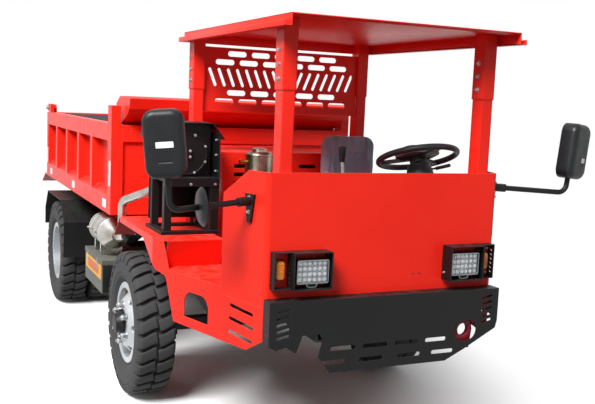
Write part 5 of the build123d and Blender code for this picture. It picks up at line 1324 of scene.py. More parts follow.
# Lamps
@dataclass
class HeadLamps:
    """LED lamp faces, silver bezels, amber markers, wire bails and fixing bolts."""

    face: Box = field(default_factory=lambda: left_box("lamp_faces"))
    marker_box: Box = field(default_factory=lambda: left_box("marker_lamps"))
    columns: int = 6
    rows: int = 4
    # Depths behind the lens's front: back of the lens, grid of bars, cups' rims, domes and back plate
    lens_back: float = 2.5
    bars: Pair = (2.8, 4.2)
    cup_rim: float = 4.0
    dome_foot: float = 7.2
    back_front: float = 9.5
    # Insets of a cup, one after the other: width and depth
    cup: Profile = ((1.5, 0.0), (4.0, -5.0), (2.0, 2.0))
    dome: Profile = ((0, 0), (0, 8.0), (1.5, 7.2), (2.6, 4.4), (3, 0))
    bar: float = 2.2
    bezel: float = 6.0
    bezel_corner: float = 9.0
    bail: Profile = ((-25.0, 0.0), (-25.0, -11.4), (-17.5, -19.0), (17.5, -19.0), (25.0, -11.4), (25.0, 0.0))
    bail_radius: float = 2.2
    # The bail's ends: behind the lens's front, under the lens
    bail_ends: Pair = (6.0, 4.0)
    bolt: Pair = (10.0, 6.0)
    # Bolts in the marker's bay: out from the marker, and over and under it
    bay_bolt: Pair = (7.0, 18.0)
    # Bolt on the lamp box's inner wall: ahead of the panel, over the box's foot
    wall_bolt: Pair = (20.0, 34.0)
    gasket_edge: float = 5.0
    gasket_thick: float = 9.0
    ribs: int = 6
    rib_radius: float = 3.0
    rib_inset: float = 9.0
    # Height of the lowest rib as a share of the marker's, and the highest rib's distance from its top
    rib_rows: Pair = (0.4, 14.0)

    def build(self) -> None:
        """Make the left lamp's pieces and their mirror images."""
        pieces = ((self.reflectors(), "led_reflectors", ALUMINIUM_REFLECTOR, ("lamp_faces",)),
                  (self.leds(), "led_domes", LED_WHITE, ()),
                  (self.grid(), "led_grids", BLACK_PLASTIC, ()),
                  (self.lens(), "led_lenses", LAMP_LENS, ()),
                  (self.frame(), "led_bezels", LAMP_BEZEL, ()),
                  (self.wire(), "lamp_wire_bails", ZINC, ()),
                  (self.bolts(), "lamp_bolts", ZINC, ()),
                  (self.gasket(), "marker_gaskets", BLACK_PLASTIC, ()),
                  (self.marker(), "amber_markers", AMBER_LENS, ("marker_lamps",)))
        for piece, name, finish, nodes in pieces:
            dress(both_sides(piece, name), finish, *nodes)

    def reflectors(self) -> Piece:
        """Grid of square cups, one round each LED, on a back plate.

        Returns:
            The reflectors.
        """
        low, high = self.face
        deselect()
        size = high - low
        bpy.ops.mesh.primitive_grid_add(x_subdivisions=self.columns, y_subdivisions=self.rows, size=1)
        cups = added("cups")
        middle = Vector(((low.x + high.x) / 2, low.y + self.cup_rim * MM, (low.z + high.z) / 2))
        moved(cups, Matrix.Translation(middle) @ Matrix.Rotation(math.radians(90), 4, "X")
              @ Matrix.Diagonal((size.x, size.z, 1, 1)))
        pick_faces(cups, lambda middle, normal: True)
        for width, depth in self.cup:
            bpy.ops.mesh.inset(thickness=width * MM, depth=depth * MM, use_individual=True)
        deselect()
        back = block("lamp_back", Vector((low.x, low.y + self.back_front * MM, low.z)), high)
        return joined("reflectors", [cups, back])

    def cell(self) -> Pair:
        """Width and height of one LED's cup, in metres."""
        size = self.face[1] - self.face[0]
        return size.x / self.columns, size.z / self.rows

    def leds(self) -> Piece:
        """One dome in each cup.

        Returns:
            The domes.
        """
        low = self.face[0] + REAR * self.dome_foot * MM
        wide, tall = self.cell()
        model = lathe("dome", self.dome, Vector(), -REAR, 16)
        places = [Matrix.Translation((low.x + (i + 0.5) * wide, low.y, low.z + (j + 0.5) * tall))
                  for i in range(self.columns) for j in range(self.rows)]
        return spread("domes", model, places)

    def grid(self) -> Piece:
        """Dark grid between the cups, with the uprights half as wide.

        Returns:
            The grid.
        """
        low, high = self.face
        wide, tall = self.cell()
        front, back = (low.y + depth * MM for depth in self.bars)
        half = self.bar / 2 * MM
        across = [block("bar", Vector((low.x, front, low.z + j * tall - half)),
                        Vector((high.x, back, low.z + j * tall + half))) for j in range(1, self.rows)]
        upright = [block("bar", Vector((low.x + i * wide - half / 2, front, low.z)),
                         Vector((low.x + i * wide + half / 2, back, high.z))) for i in range(1, self.columns)]
        return joined("grid", across + upright)

    def lens(self) -> Piece:
        """Clear cover with rounded edges in front of the cups."""
        low, high = self.face
        return block("lens", low, Vector((high.x, low.y + self.lens_back * MM, high.z)), 1)

    def frame(self) -> Piece:
        """Bright frame round the lens: a slab with its middle opened through.

        Returns:
            The frame.
        """
        low, high = self.face
        reach = Vector((self.bezel, 0, self.bezel)) * MM
        ahead = REAR * self.bezel * MM
        slab = block("bezel", low - reach - ahead, high + reach - ahead)
        round_corners(slab, 1, self.bezel_corner)
        pick_faces(slab, lambda middle, normal: abs(normal.y) > FACES)
        bpy.ops.mesh.inset(thickness=(self.bezel - 0.3) * MM)
        bpy.ops.mesh.bridge_edge_loops()
        deselect()
        return rounded(slab, 2)

    def wire(self) -> Piece:
        """Bent wire loop under the lamp.

        Returns:
            The loop.
        """
        low, high = self.face
        behind, under = (size * MM for size in self.bail_ends)
        foot = Vector(((low.x + high.x) / 2, low.y + behind, low.z - under))
        return tube("bail", [foot + Vector((x, 0, z)) * MM for x, z in self.bail], self.bail_radius)

    def bolts(self) -> Piece:
        """Bolts through the panel in the marker's bay, and one on the inner wall.

        Returns:
            The bolts.
        """
        low, high = self.marker_box
        corner, _ = left_box("lamp_boxes")
        out, over = (size * MM for size in self.bay_bolt)
        ahead, up = (size * MM for size in self.wall_bolt)
        places = [facing(Vector((high.x + out, FRONT, z)), -REAR, 15) for z in (low.z - over, high.z + over)]
        places.append(facing(Vector((corner.x, FRONT - ahead, corner.z + up)), -LEFT))
        return spread("lamp_bolts", hex_bolt(*self.bolt), places)

    def gasket(self) -> Piece:
        """Dark seat of the marker.

        Returns:
            The gasket.
        """
        low, high = self.marker_box
        edge = Vector((self.gasket_edge, 0, self.gasket_edge)) * MM
        seat = block("gasket", Vector((low.x, high.y - self.gasket_thick * MM, low.z)) - edge, high + edge)
        round_corners(seat, 1, 18)
        return rounded(seat, 2)

    def marker(self) -> Piece:
        """Amber lens with moulded ribs over its upper part.

        Returns:
            The marker.
        """
        low, high = self.marker_box
        lens = block("marker", low + REAR * 1.5 * MM, high)
        round_corners(lens, 1, 14)
        pick_faces(lens, lambda middle, normal: normal.y < -FACES)
        bpy.ops.mesh.bevel(offset=7 * MM, segments=4, affect="EDGES")
        deselect()
        share, under = self.rib_rows
        first, last = low.z + (high.z - low.z) * share, high.z - under * MM
        pitch = (last - first) / (self.ribs - 1)
        start = Vector((low.x + self.rib_inset * MM, low.y + self.rib_radius * MM, first))
        run = LEFT * (high.x - low.x - 2 * self.rib_inset * MM)
        feet = [start + UP * pitch * i for i in range(self.ribs)]
        ribs = [drum("rib", foot, foot + run, self.rib_radius, 12) for foot in feet]
        return joined("marker", [lens, *ribs])


@dataclass
class TailLamps:
    """Three-colour rear lamps: outer stop, middle turn and inner reversing lens."""

    shell: float = 14.0
    shell_corner: float = 12.0
    gap: float = 2.0
    rib_pitch: float = 9.0
    rib_inset: float = 8.0
    rib_radius: float = 2.5
    # Name, finish and the share of the width that each lens takes
    lenses: tuple[tuple[str, Finish, float, float], ...] = (
        ("tail_reversing", LAMP_LENS, 0.0, 0.28), ("tail_turn", AMBER_LENS, 0.28, 0.58),
        ("tail_stop", RED_LENS, 0.58, 1.0))

    def build(self) -> None:
        """Make the left lamp's shell and lenses and their mirror images."""
        low, high = left_box("tail_lamps")
        shell = block("tail_shell", low, Vector((high.x, low.y + self.shell * MM, high.z)))
        round_corners(shell, 1, self.shell_corner)
        dress(both_sides(rounded(shell, 2), "tail_shells"), BLACK_PLASTIC)
        for name, finish, start, end in self.lenses:
            nodes = ("tail_lamps",) if finish is RED_LENS else ()
            dress(both_sides(self.lens(low, high, start, end), f"{name}_lenses"), finish, *nodes)

    def lens(self, low: Vector, high: Vector, start: float, end: float) -> Piece:
        """One ribbed lens over a share of the lamp's width.

        Args:
            low: The lamp's low corner.
            high: Its high corner.
            start: Share where the lens starts.
            end: Share where it ends.

        Returns:
            The lens.
        """
        wide = high.x - low.x
        gap, inset = self.gap * MM, self.rib_inset * MM
        near = Vector((low.x + wide * start + gap, low.y + (self.shell + 0.3) * MM, low.z + 2 * gap))
        far = Vector((low.x + wide * end - gap, high.y - 2 * MM, high.z - 2 * gap))
        lens = rounded(block("lens", near, far), 5, 3)
        count = max(2, round((far.x - near.x) / (self.rib_pitch * MM)))
        ribs = []
        for i in range(count):
            x = near.x + (far.x - near.x) * (i + 0.5) / count
            foot, top = (Vector((x, far.y - 1 * MM, z)) for z in (near.z + inset, far.z - inset))
            ribs.append(drum("rib", foot, top, self.rib_radius, 10))
        return joined("tail_lens", [lens, *ribs])


@dataclass
class Mirrors:
    """Leaned oblong heads with silvered glass, and a round mirror on the right arm."""

    width: float = 165.0
    height: float = 276.0
    depth: float = 84.0
    corner: float = 48.0
    crown: float = 28.0
    lean: float = 6.0
    yaw: float = 20.0
    foot: Vector = field(default_factory=lambda: at(1037.5, 0, 1357))
    stem_back: float = 12.0
    glass_border: float = 10.0
    # Depths of the glass's two faces under the head's rear edge, and of its recess
    glass: Pair = (7.5, 3.5)
    recess: float = 8.0
    arm_root: Vector = field(default_factory=lambda: at(-636.3, 105.3, 1248))
    arm_corner: Vector = field(default_factory=lambda: at(-1023.5, 0, 1224))
    arm_radius: float = 13.0
    round_inset: float = 147.0
    round_radius: float = 83.0
    round_half: float = 13.0
    round_yaw: float = -19.0
    # Sunk line on the shell: half length, half height, depth and height as a share of the head's
    slot_half: float = 30.0
    slot_rise: float = 4.0
    slot_depth: float = 2.5
    slot_share: float = 0.25
    # Blank labels: half width, half height, middle's distance from the head's middle, height's share
    right_label: tuple[float, float, float, float] = (35.0, 12.0, -2.0, 0.5)
    left_label: tuple[float, float, float, float] = (14.0, 12.0, 26.0, 0.35)

    def build(self) -> None:
        """Make both heads, the round mirror, the glass and the blank labels."""
        lean, yaw = (math.radians(angle) for angle in (self.lean, self.yaw))
        stand = (Matrix.Translation(self.foot) @ Matrix.Rotation(lean, 4, "Y") @ Matrix.Rotation(yaw, 4, "Z")
                 @ Matrix.Translation(-REAR * self.stem_back * MM))
        heads = both_sides(moved(self.head(), stand), "heads")
        dress(joined("mirror_shells", [heads, self.round_head()]), MIRROR_PLASTIC, "mirror_heads", angle=40)
        dress(both_sides(moved(self.pane(), stand), "mirror_panes"), MIRROR_GLASS)
        right = moved(self.label(*self.right_label), Matrix.Scale(-1, 4, LEFT) @ stand)
        left = moved(self.label(*self.left_label), stand)
        dress(joined("mirror_labels", [right, left]), WHITE_PAPER)

    def head(self) -> Piece:
        """Moulded shell: crowned front with a sunk line, and a recess behind for the glass.

        Returns:
            The head, in its own frame.
        """
        half, deep = self.width / 2 * MM, self.depth / 2 * MM
        head = block("head", Vector((-half, -deep, 0)), Vector((half, deep, self.height * MM)))
        round_corners(head, 1, self.corner, 8)
        pick_faces(head, lambda middle, normal: normal.y < -FACES)
        bpy.ops.mesh.bevel(offset=self.crown * MM, segments=7, affect="EDGES")
        line, reach = self.height * self.slot_share * MM, self.slot_half * MM
        rise = self.slot_rise * MM
        for place, across in ((UP * (line - rise), UP), (UP * (line + rise), UP), (-LEFT * reach, LEFT),
                              (LEFT * reach, LEFT)):
            bpy.ops.mesh.select_all(action="SELECT")
            bpy.ops.mesh.bisect(plane_co=place, plane_no=across)
        pick_faces(head, lambda middle, normal: (normal.y < -FACES and abs(middle.z - line) < rise
                                                 and abs(middle.x) < reach))
        bpy.ops.mesh.inset(thickness=2 * MM, depth=-self.slot_depth * MM)
        pick_faces(head, lambda middle, normal: normal.y > FACES)
        bpy.ops.mesh.inset(thickness=(self.glass_border - 2) * MM)
        bpy.ops.mesh.inset(thickness=1 * MM, depth=-self.recess * MM)
        deselect()
        return rounded(head, 2.5, angle=50)

    def pane(self) -> Piece:
        """Silvered glass in the recess.

        Returns:
            The pane, in the head's own frame.
        """
        half, deep, edge = self.width / 2 * MM, self.depth / 2 * MM, self.glass_border * MM
        front, back = (deep - under * MM for under in self.glass)
        pane = block("pane", Vector((edge - half, front, edge)),
                     Vector((half - edge, back, self.height * MM - edge)))
        round_corners(pane, 1, self.corner - self.glass_border, 8)
        return rounded(pane, 1, 1, 50)

    def label(self, half: float, tall: float, across: float, share: float) -> Piece:
        """Blank white label on the shell's front.

        Args:
            half: Half its width.
            tall: Half its height.
            across: Its middle's distance from the head's middle.
            share: Height of its middle as a share of the head's.

        Returns:
            The label, in the head's own frame.
        """
        face, z = -self.depth / 2, self.height * share
        label = block("label", Vector((across - half, face - 0.8, z - tall)) * MM,
                      Vector((across + half, face + 0.4, z + tall)) * MM)
        round_corners(label, 1, 3, 3)
        return label

    def round_head(self) -> Piece:
        """Round mirror that the right arm runs through.

        Returns:
            The mirror.
        """
        run = (self.arm_corner - self.arm_root).normalized()
        middle = self.arm_corner - run * self.round_inset * MM
        bore, radius, half = self.arm_radius + 0.3, self.round_radius, self.round_half
        profile = [(-half, bore), (-half, radius - 9), (2 - half, radius - 7), (2 - half, radius - 5),
                   (1 - half, radius - 3), (4 - half, radius), (8 - half, radius), (half - 5, radius * 0.82),
                   (half - 1, radius * 0.45), (half, bore + 9), (half, bore)]
        turn = Matrix.Rotation(math.radians(self.round_yaw), 3, "Z")
        return lathe("round_mirror", profile, middle, turn @ run, 64)


# Cab
@dataclass
class DriverSeat:
    """Padded cushion and high back, blown up as cloth and then sewn."""

    start_inset: float = 9.0
    voxel: float = 6.0
    smoothing: int = 14
    swell: float = 9.0
    pressure: float = 4.0
    frames: int = 20
    fill: float = 0.75
    bolster: float = 78.0
    bolster_rise: float = 16.0
    # Front roll of the cushion: depth, and rise as a share of the bolsters'
    roll: float = 90.0
    roll_share: float = 0.6
    head_from: float = 1395.0
    head_rise: float = 12.0
    corner: float = 66.0
    seam_depth: float = 7.0
    seam_width: float = 6.0
    # Seams across the cushion and the back, as shares of their length and height
    cushion_seams: tuple[float, ...] = (0.2, 0.45, 0.7)
    back_seams: tuple[float, ...] = (0.42,)
    # The cushion has no seam under this height, and the back has one round its sides at this depth
    seam_floor: float = 30.0
    welt: float = 66.0
    welt_from: float = 60.0
    # Gathers of the loose cover: depth, spacing across and along them, slant, and share that sinks in
    fold_depth: float = 13.0
    fold_space: Pair = (26.0, 75.0)
    fold_slant: float = 0.6
    fold_sink: float = 0.3

    def build(self) -> None:
        """Make the cushion and the back."""
        for name, node, make, seam in (("padded_cushion", "seat_cushion", self.cushion, self.cushion_seam),
                                       ("padded_back", "seat_back", self.back, self.back_seam)):
            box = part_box(node)
            piece = make(name, box)
            modify(piece, "REMESH", mode="VOXEL", voxel_size=self.voxel * MM)
            modify(piece, "SMOOTH", factor=0.5, iterations=self.smoothing)
            self.blow(piece)
            self.sew(piece, box, seam)
            dress(piece, SEAT_CLOTH, node, angle=180)

    def start(self, name: str, low: Vector, high: Vector, cuts: Sequence[tuple[int, float]],
              corner: float = 0) -> Piece:
        """Block a little smaller than the finished pad, cut across the given axes.

        Args:
            name: The pad's name.
            low: Lowest corner of the finished pad.
            high: Highest corner.
            cuts: Axis number and place of each cut.
            corner: Radius of the two upper corners, seen from the front.

        Returns:
            The block.
        """
        inset = Vector((1, 1, 1)) * self.start_inset * MM
        pad = block(name, low + inset, high - inset)
        if corner:
            round_corners(pad, 1, corner, 8, lambda middle: middle.z > high.z - 20 * MM)
        edit(pad)
        for axis, place in cuts:
            bpy.ops.mesh.select_all(action="SELECT")
            normal = [float(i == axis) for i in range(3)]
            bpy.ops.mesh.bisect(plane_co=[place * n for n in normal], plane_no=normal)
        deselect()
        return pad

    def raise_faces(self, pad: Piece, along: Vector, rise: float, test: Callable[[Vector], bool]) -> None:
        """Draw out some faces.

        Args:
            pad: The pad.
            along: Direction that the faces look in and are drawn in.
            rise: How far they are drawn.
            test: Whether a face with this middle is drawn.
        """
        pick_faces(pad, lambda middle, normal: normal.dot(along) > FACES and test(middle))
        bpy.ops.mesh.extrude_region_move(TRANSFORM_OT_translate={"value": along * rise * MM})
        deselect()

    def between(self, point: Vector, box: Box) -> bool:
        """Whether a point lies between the two side bolsters."""
        return box[0].x + self.bolster * MM < point.x < box[1].x - self.bolster * MM

    def cushion(self, name: str, box: Box) -> Piece:
        """Seat cushion with side bolsters and a front roll.

        Args:
            name: The cushion's name.
            box: Its space.

        Returns:
            The cushion with hard edges.
        """
        low, high = box
        edge, roll = self.bolster * MM, low.y + self.roll * MM
        top = high - UP * self.bolster_rise * MM
        pad = self.start(name, low, top, ((0, low.x + edge), (0, high.x - edge), (1, roll)))
        self.raise_faces(pad, UP, self.bolster_rise, lambda middle: not self.between(middle, box))
        self.raise_faces(pad, UP, self.bolster_rise * self.roll_share,
                         lambda middle: middle.y < roll and self.between(middle, box))
        return pad

    def back(self, name: str, box: Box) -> Piece:
        """High back with side bolsters and a gathered head pad.

        Args:
            name: The back's name.
            box: Its space.

        Returns:
            The back with hard edges.
        """
        low, high = box
        edge, head = self.bolster * MM, self.head_from * MM
        front = low + REAR * self.bolster_rise * MM
        pad = self.start(name, front, high, ((0, low.x + edge), (0, high.x - edge), (2, head)), self.corner)
        self.raise_faces(pad, -REAR, self.bolster_rise, lambda middle: not self.between(middle, box))
        self.raise_faces(pad, -REAR, self.head_rise,
                         lambda middle: middle.z > head and self.between(middle, box))
        return pad

    def blow(self, pad: Piece) -> None:
        """Swell the pad with Blender's cloth, no point moving further than the cap.

        Args:
            pad: The pad.
        """
        before = [vertex.co.copy() for vertex in pad.data.vertices]
        only(pad)
        cloth = pad.modifiers.new("Cloth", "CLOTH")
        cloth.settings.use_pressure = True
        cloth.settings.uniform_pressure_force = self.pressure
        cloth.settings.effector_weights.gravity = 0
        cloth.point_cache.frame_end = self.frames
        for number in range(1, self.frames + 1):
            bpy.context.scene.frame_set(number)
        bpy.ops.object.modifier_apply(modifier=cloth.name)
        bpy.context.scene.frame_set(1)
        for vertex, old in zip(pad.data.vertices, before):
            step = vertex.co - old
            if step.length > self.swell * MM:
                vertex.co = old + step.normalized() * self.swell * MM

    def sew(self, pad: Piece, box: Box, seam: Callable[[Vector, Box], float]) -> None:
        """Refine the pad, sink its seams, fold its cover, and keep it in the space of its CAD solid.

        Args:
            pad: The pad.
            box: Its space.
            seam: Distance from a point to the nearest seam.
        """
        low, high = box
        modify(pad, "SUBSURF", levels=1, render_levels=1)
        across, along = (size * MM for size in self.fold_space)
        normals = [vertex.normal.copy() for vertex in pad.data.vertices]
        for vertex, normal in zip(pad.data.vertices, normals):
            near = seam(vertex.co, box) / (self.seam_width * MM)
            vertex.co -= normal * self.seam_depth * MM * math.exp(-near * near)
            slanted = vertex.co.z + vertex.co.x * self.fold_slant
            place = Vector((vertex.co.x / across, vertex.co.y / across, slanted / along))
            front = max(0.0, -normal.y)
            rise = noise.noise(place) - self.fold_sink
            vertex.co += normal * self.fold_depth * MM * front * front * rise
            for axis in range(3):
                vertex.co[axis] = min(max(vertex.co[axis], low[axis]), high[axis])
        pad.data.update()

    def bolster_seam(self, point: Vector, box: Box) -> float:
        """Distance in metres from a point to the nearer bolster's seam."""
        edge = self.bolster * MM
        return min(abs(point.x - box[0].x - edge), abs(point.x - box[1].x + edge))

    def cushion_seam(self, point: Vector, box: Box) -> float:
        """Distance from a point on the cushion to its nearest seam.

        Args:
            point: The point.
            box: The cushion's space.

        Returns:
            The distance in metres.
        """
        low, high = box
        if point.z < low.z + self.seam_floor * MM:
            return 1.0
        side = self.bolster_seam(point, box)
        across = [abs(point.y - low.y - share * (high.y - low.y)) for share in self.cushion_seams]
        return min(side, *across) if self.between(point, box) else side

    def back_seam(self, point: Vector, box: Box) -> float:
        """Distance from a point on the back to its nearest seam.

        Args:
            point: The point.
            box: The back's space.

        Returns:
            The distance in metres.
        """
        low, high = box
        if point.y > low.y + self.welt_from * MM:
            return abs(point.y - low.y - self.welt * MM)
        side = self.bolster_seam(point, box)
        across = [abs(point.z - low.z - share * (high.z - low.z)) for share in self.back_seams]
        across.append(abs(point.z - self.head_from * MM))
        return min(side, *across) if self.between(point, box) else side


@dataclass
class Controls:
    """Steering wheel pad, column shroud and stalk, gear knob and floor boot."""

    wheel: Vector = field(default_factory=lambda: at(333, 300, 1432))
    tilt: float = 20.0
    pad: tuple[float, float, float] = (215.0, 160.0, 30.0)
    pad_foot: float = 4.3
    pad_corner: float = 62.0
    # Steps of the pad's domed top: width and rise
    pad_steps: Profile = ((12, 9), (16, 6), (18, 2))
    # Shroud under the wheel: down the column, radius
    shroud: Profile = ((38, 24), (38, 52), (44, 58), (96, 70), (128, 72), (134, 66), (134, 24))
    stalk: tuple[Vector, ...] = field(
        default_factory=lambda: (at(362, 262, 1372), at(420, 262, 1380), at(480, 262, 1392)))
    stalk_radius: float = 5.0
    grip_radius: float = 9.0
    knob_foot: Vector = field(default_factory=lambda: at(40, 550, 1388))
    knob: Profile = (
        (-2, 0), (-2, 15.6), (0, 16), (36, 19.4), (70, 22.6), (75, 21), (77.5, 16), (78, 9), (77, 0))
    boot_foot: Vector = field(default_factory=lambda: at(60, 500, 828))
    boot: Profile = (
        (0.5, 40.5), (0.5, 62), (6, 62), (10, 54), (16, 56), (20, 46), (26, 48), (31, 40.6), (41, 40.6),
        (43, 34), (52, 20), (58, 12), (58, 9.5), (40.6, 20))

    def build(self) -> None:
        """Make each control's fittings."""
        stand = Matrix.Translation(self.wheel) @ Matrix.Rotation(math.radians(-self.tilt), 4, "X")
        dress(moved(self.wheel_pad(), stand), GREY_PLASTIC, body="steering_wheel")
        down = (stand.to_3x3() @ UP) * -1
        dress(lathe("column_shroud", self.shroud, self.wheel, down, 40), BLACK_PLASTIC)
        _, bend, end = self.stalk
        grip = drum("stalk_grip", bend, end + (end - bend) * 0.4, self.grip_radius, 20, 3)
        stalk = tube("stalk", self.stalk, self.stalk_radius)
        dress(joined("signal_stalk", [stalk, grip]), BLACK_PLASTIC)
        dress(lathe("gear_knob", self.knob, self.knob_foot, UP, 32), BLACK_PLASTIC)
        dress(lathe("gear_boot", self.boot, self.boot_foot, UP, 40), BLACK_PLASTIC)

    def wheel_pad(self) -> Piece:
        """Soft domed pad over the wheel's hub.

        Returns:
            The pad, in the wheel's own frame.
        """
        wide, deep, thick = (size * MM for size in self.pad)
        foot = self.pad_foot * MM
        pad = block("steering_pad", Vector((-wide / 2, -deep / 2, foot)),
                    Vector((wide / 2, deep / 2, foot + thick)))
        round_corners(pad, 2, self.pad_corner, 8)
        pick_faces(pad, lambda middle, normal: normal.z > FACES)
        for width, rise in self.pad_steps:
            bpy.ops.mesh.inset(thickness=width * MM, depth=rise * MM)
        deselect()
        return rounded(pad, 4, 3, 40)


# Machinery
@dataclass
class Machinery:
    """Fittings on the oil tank, radiator rack, purifier, battery box and fuel tank."""

    # Slack between a fitting and the drum that it is put on
    slack: float = 0.3
    tank: Vector = field(default_factory=lambda: at(-212, 1060, 1120))
    tank_radius: float = 80.0
    tank_height: float = 265.0
    bead_rise: float = 2.2
    # Lid and cap: over the tank's top, radius
    lid: Profile = ((0.5, 0), (0.5, 72), (5, 70), (14, 58), (14.5, 0))
    cap: Profile = ((14.5, 0), (14.5, 44), (28, 42), (33, 34), (36, 14), (36, 0))
    vent_height: float = 222.0
    vent: Profile = ((0, 0), (0, 11), (10, 11), (11, 7), (24, 7), (25, 12), (36, 12), (38, 8), (38, 0))
    rack_bolt: Pair = (11.0, 7.0)
    # Bolts on the rack's inner panel: its thickness, distance from the edges, shares of the height
    panel: float = 6.0
    panel_inset: float = 62.0
    panel_rows: tuple[float, ...] = (0.1, 0.3, 0.47, 0.62, 0.78, 0.93)
    # Bolts on the rack's front bar: behind the front, over the foot, in from the right and the left
    bar_place: Pair = (12.0, 262.0)
    bar_insets: Pair = (45.0, 25.0)
    fan: Vector = field(default_factory=lambda: at(-647.5, 995, 1385))
    fan_bolts: int = 8
    fan_circle: float = 107.0
    fan_hub: float = 16.0
    # Back sheet of the rack: in from the sides, faces from the rear, heights over the foot
    sheet_inset: float = 12.0
    sheet_faces: Pair = (9.0, 7.0)
    sheet_heights: Pair = (46.0, 300.0)
    drum_start: Vector = field(default_factory=lambda: at(-785, 1990, 790))
    drum_radius: float = 98.0
    bands: tuple[float, ...] = (160.0, 300.0, 382.0)
    band: Pair = (24.0, 3.0)
    band_bolt: Pair = (12.0, 9.0)
    outlet_radius: float = 55.0
    # Outside of the sleeve on the outlet: along the drum, radius
    sleeve: Profile = ((425, 62), (430, 63), (484, 63), (488, 60))
    box_side: float = -885.0
    latch_stations: tuple[float, ...] = (2085.0, 2380.0)
    filler: Vector = field(default_factory=lambda: at(795, 2070, 722))
    filler_cap: Profile = (
        (0, 38.4), (0, 43), (3, 44), (20, 44), (24, 40), (25, 20), (26, 0), (18.5, 0), (18.5, 38.4))
    grips: int = 12

    def build(self) -> None:
        """Make each unit's fittings."""
        self.oil_tank()
        self.radiator()
        self.rack_panel()
        self.purifier()
        self.battery_box()
        self.fuel_cap()

    def ring(self, name: str, start: Vector, axis: Vector, along: float, wide: float, inner: float,
             rise: float) -> Piece:
        """Band round a drum.

        Args:
            name: The piece's name.
            start: Point on the drum's axis.
            axis: The axis.
            along: Distance from the point to the band's first edge.
            wide: The band's width.
            inner: Radius under the band.
            rise: The band's thickness.

        Returns:
            The band.
        """
        shoulder, top = inner + rise * 0.6, inner + rise
        profile = [(along, inner), (along, shoulder), (along + wide * 0.2, top), (along + wide * 0.8, top),
                   (along + wide, shoulder), (along + wide, inner)]
        return lathe(name, profile, start, axis, 64)

    def oil_tank(self) -> None:
        """Seam beads, domed lid with a knurled cap, and the brass vent on the side."""
        radius, height = self.tank_radius + self.slack, self.tank_height
        beads = [self.ring("bead", self.tank, UP, along, wide, radius, self.bead_rise)
                 for along, wide in ((2, 8), (height * 0.55, 7), (height - 10, 10))]
        lid_foot = self.tank + UP * height * MM
        top = [lathe("lid", self.lid, lid_foot, UP, 64), lathe("cap", self.cap, lid_foot, UP, 24)]
        dress(joined("oil_tank_trim", [*beads, *top]), TIN_STEEL)
        side = self.tank + UP * self.vent_height * MM - LEFT * radius * MM
        dress(lathe("brass_vent", self.vent, side, -LEFT, 24), BRASS)

    def radiator(self) -> None:
        """Bright bolts on the rack's inner panel and front bar, and on the fan's cover."""
        low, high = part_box("radiator_rack")
        inset, panel = self.panel_inset * MM, high.x - self.panel * MM
        rows = [low.z + share * (high.z - low.z) for share in self.panel_rows]
        places = [facing(Vector((panel, y, z)), -LEFT, 20) for z in rows
                  for y in (low.y + inset, high.y - inset)]
        behind, over = (size * MM for size in self.bar_place)
        right, left = (size * MM for size in self.bar_insets)
        places += [facing(Vector((x, low.y + behind, low.z + over)), -REAR, 10)
                   for x in (low.x + right, (low.x + high.x) / 2, high.x - left)]
        for i in range(self.fan_bolts):
            turn = 2 * math.pi * (i + 0.5) / self.fan_bolts
            spoke = (LEFT * math.cos(turn) + UP * math.sin(turn)) * self.fan_circle * MM
            places.append(facing(self.fan + spoke, -REAR, 30 * i))
        hub = (-self.fan_hub * MM, self.fan_hub * MM)
        places += [facing(self.fan + LEFT * x + UP * z, -REAR) for x in hub for z in hub]
        dress(spread("rack_bolts", hex_bolt(*self.rack_bolt), places), ZINC)

    def rack_panel(self) -> None:
        """Dark back sheet between the rack's legs."""
        low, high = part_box("radiator_rack")
        inset = self.sheet_inset * MM
        front, back = (high.y - size * MM for size in self.sheet_faces)
        foot, top = (low.z + size * MM for size in self.sheet_heights)
        sheet = block("rack_back_sheet", Vector((low.x + inset, front, foot)),
                      Vector((high.x - inset, back, top)), 0.6)
        dress(sheet, BLACK_COAT)

    def purifier(self) -> None:
        """Clamp bands with their bolts, and the rubber sleeve on the outlet."""
        rim = self.drum_radius + self.slack
        wide, thick = self.band
        bands = [self.ring("band", self.drum_start, REAR, along, wide, rim, thick) for along in self.bands]
        side = self.drum_start - LEFT * (rim + thick) * MM
        places = [facing(side + REAR * (along + wide / 2) * MM, -LEFT, 10) for along in self.bands]
        bolts = spread("band_bolts", hex_bolt(*self.band_bolt), places)
        dress(joined("purifier_bands", [*bands, bolts]), STAINLESS)
        bore = self.outlet_radius + self.slack
        sleeve = [(self.sleeve[0][0], bore), *self.sleeve, (self.sleeve[-1][0], bore)]
        dress(lathe("outlet_sleeve", sleeve, self.drum_start, REAR, 48), BLACK_PLASTIC)

    def battery_box(self) -> None:
        """Blank yellow side panel with its orange field, dark front plate and lid latches."""
        x = self.box_side
        panel = block("yellow_panel", at(x - 1.6, 1985, 508), at(x + 0.2, 2480, 602))
        round_corners(panel, 0, 6, 4)
        dress(panel, YELLOW_VINYL)
        middle = block("orange_field", at(x - 2.2, 2062, 528), at(x - 1.4, 2403, 584))
        round_corners(middle, 0, 4, 4)
        dress(middle, ORANGE_VINYL)
        front = block("box_front", at(x + 5, 1957.5, 430), at(-605, 1960.2, 604), 1)
        dress(front, BLACK_COAT)
        latches = []
        for station in self.latch_stations:
            foot = block("latch", at(x - 5, station - 12, 560), at(x + 0.2, station + 12, 606), 1.5)
            hasp = block("hasp", at(x - 9, station - 7, 590), at(x - 4, station + 7, 632), 1.5)
            pin = drum("pin", at(x - 8, station - 14, 574), at(x - 8, station + 14, 574), 4, 16)
            latches += [foot, hasp, pin]
        dress(joined("lid_latches", latches), ZINC)

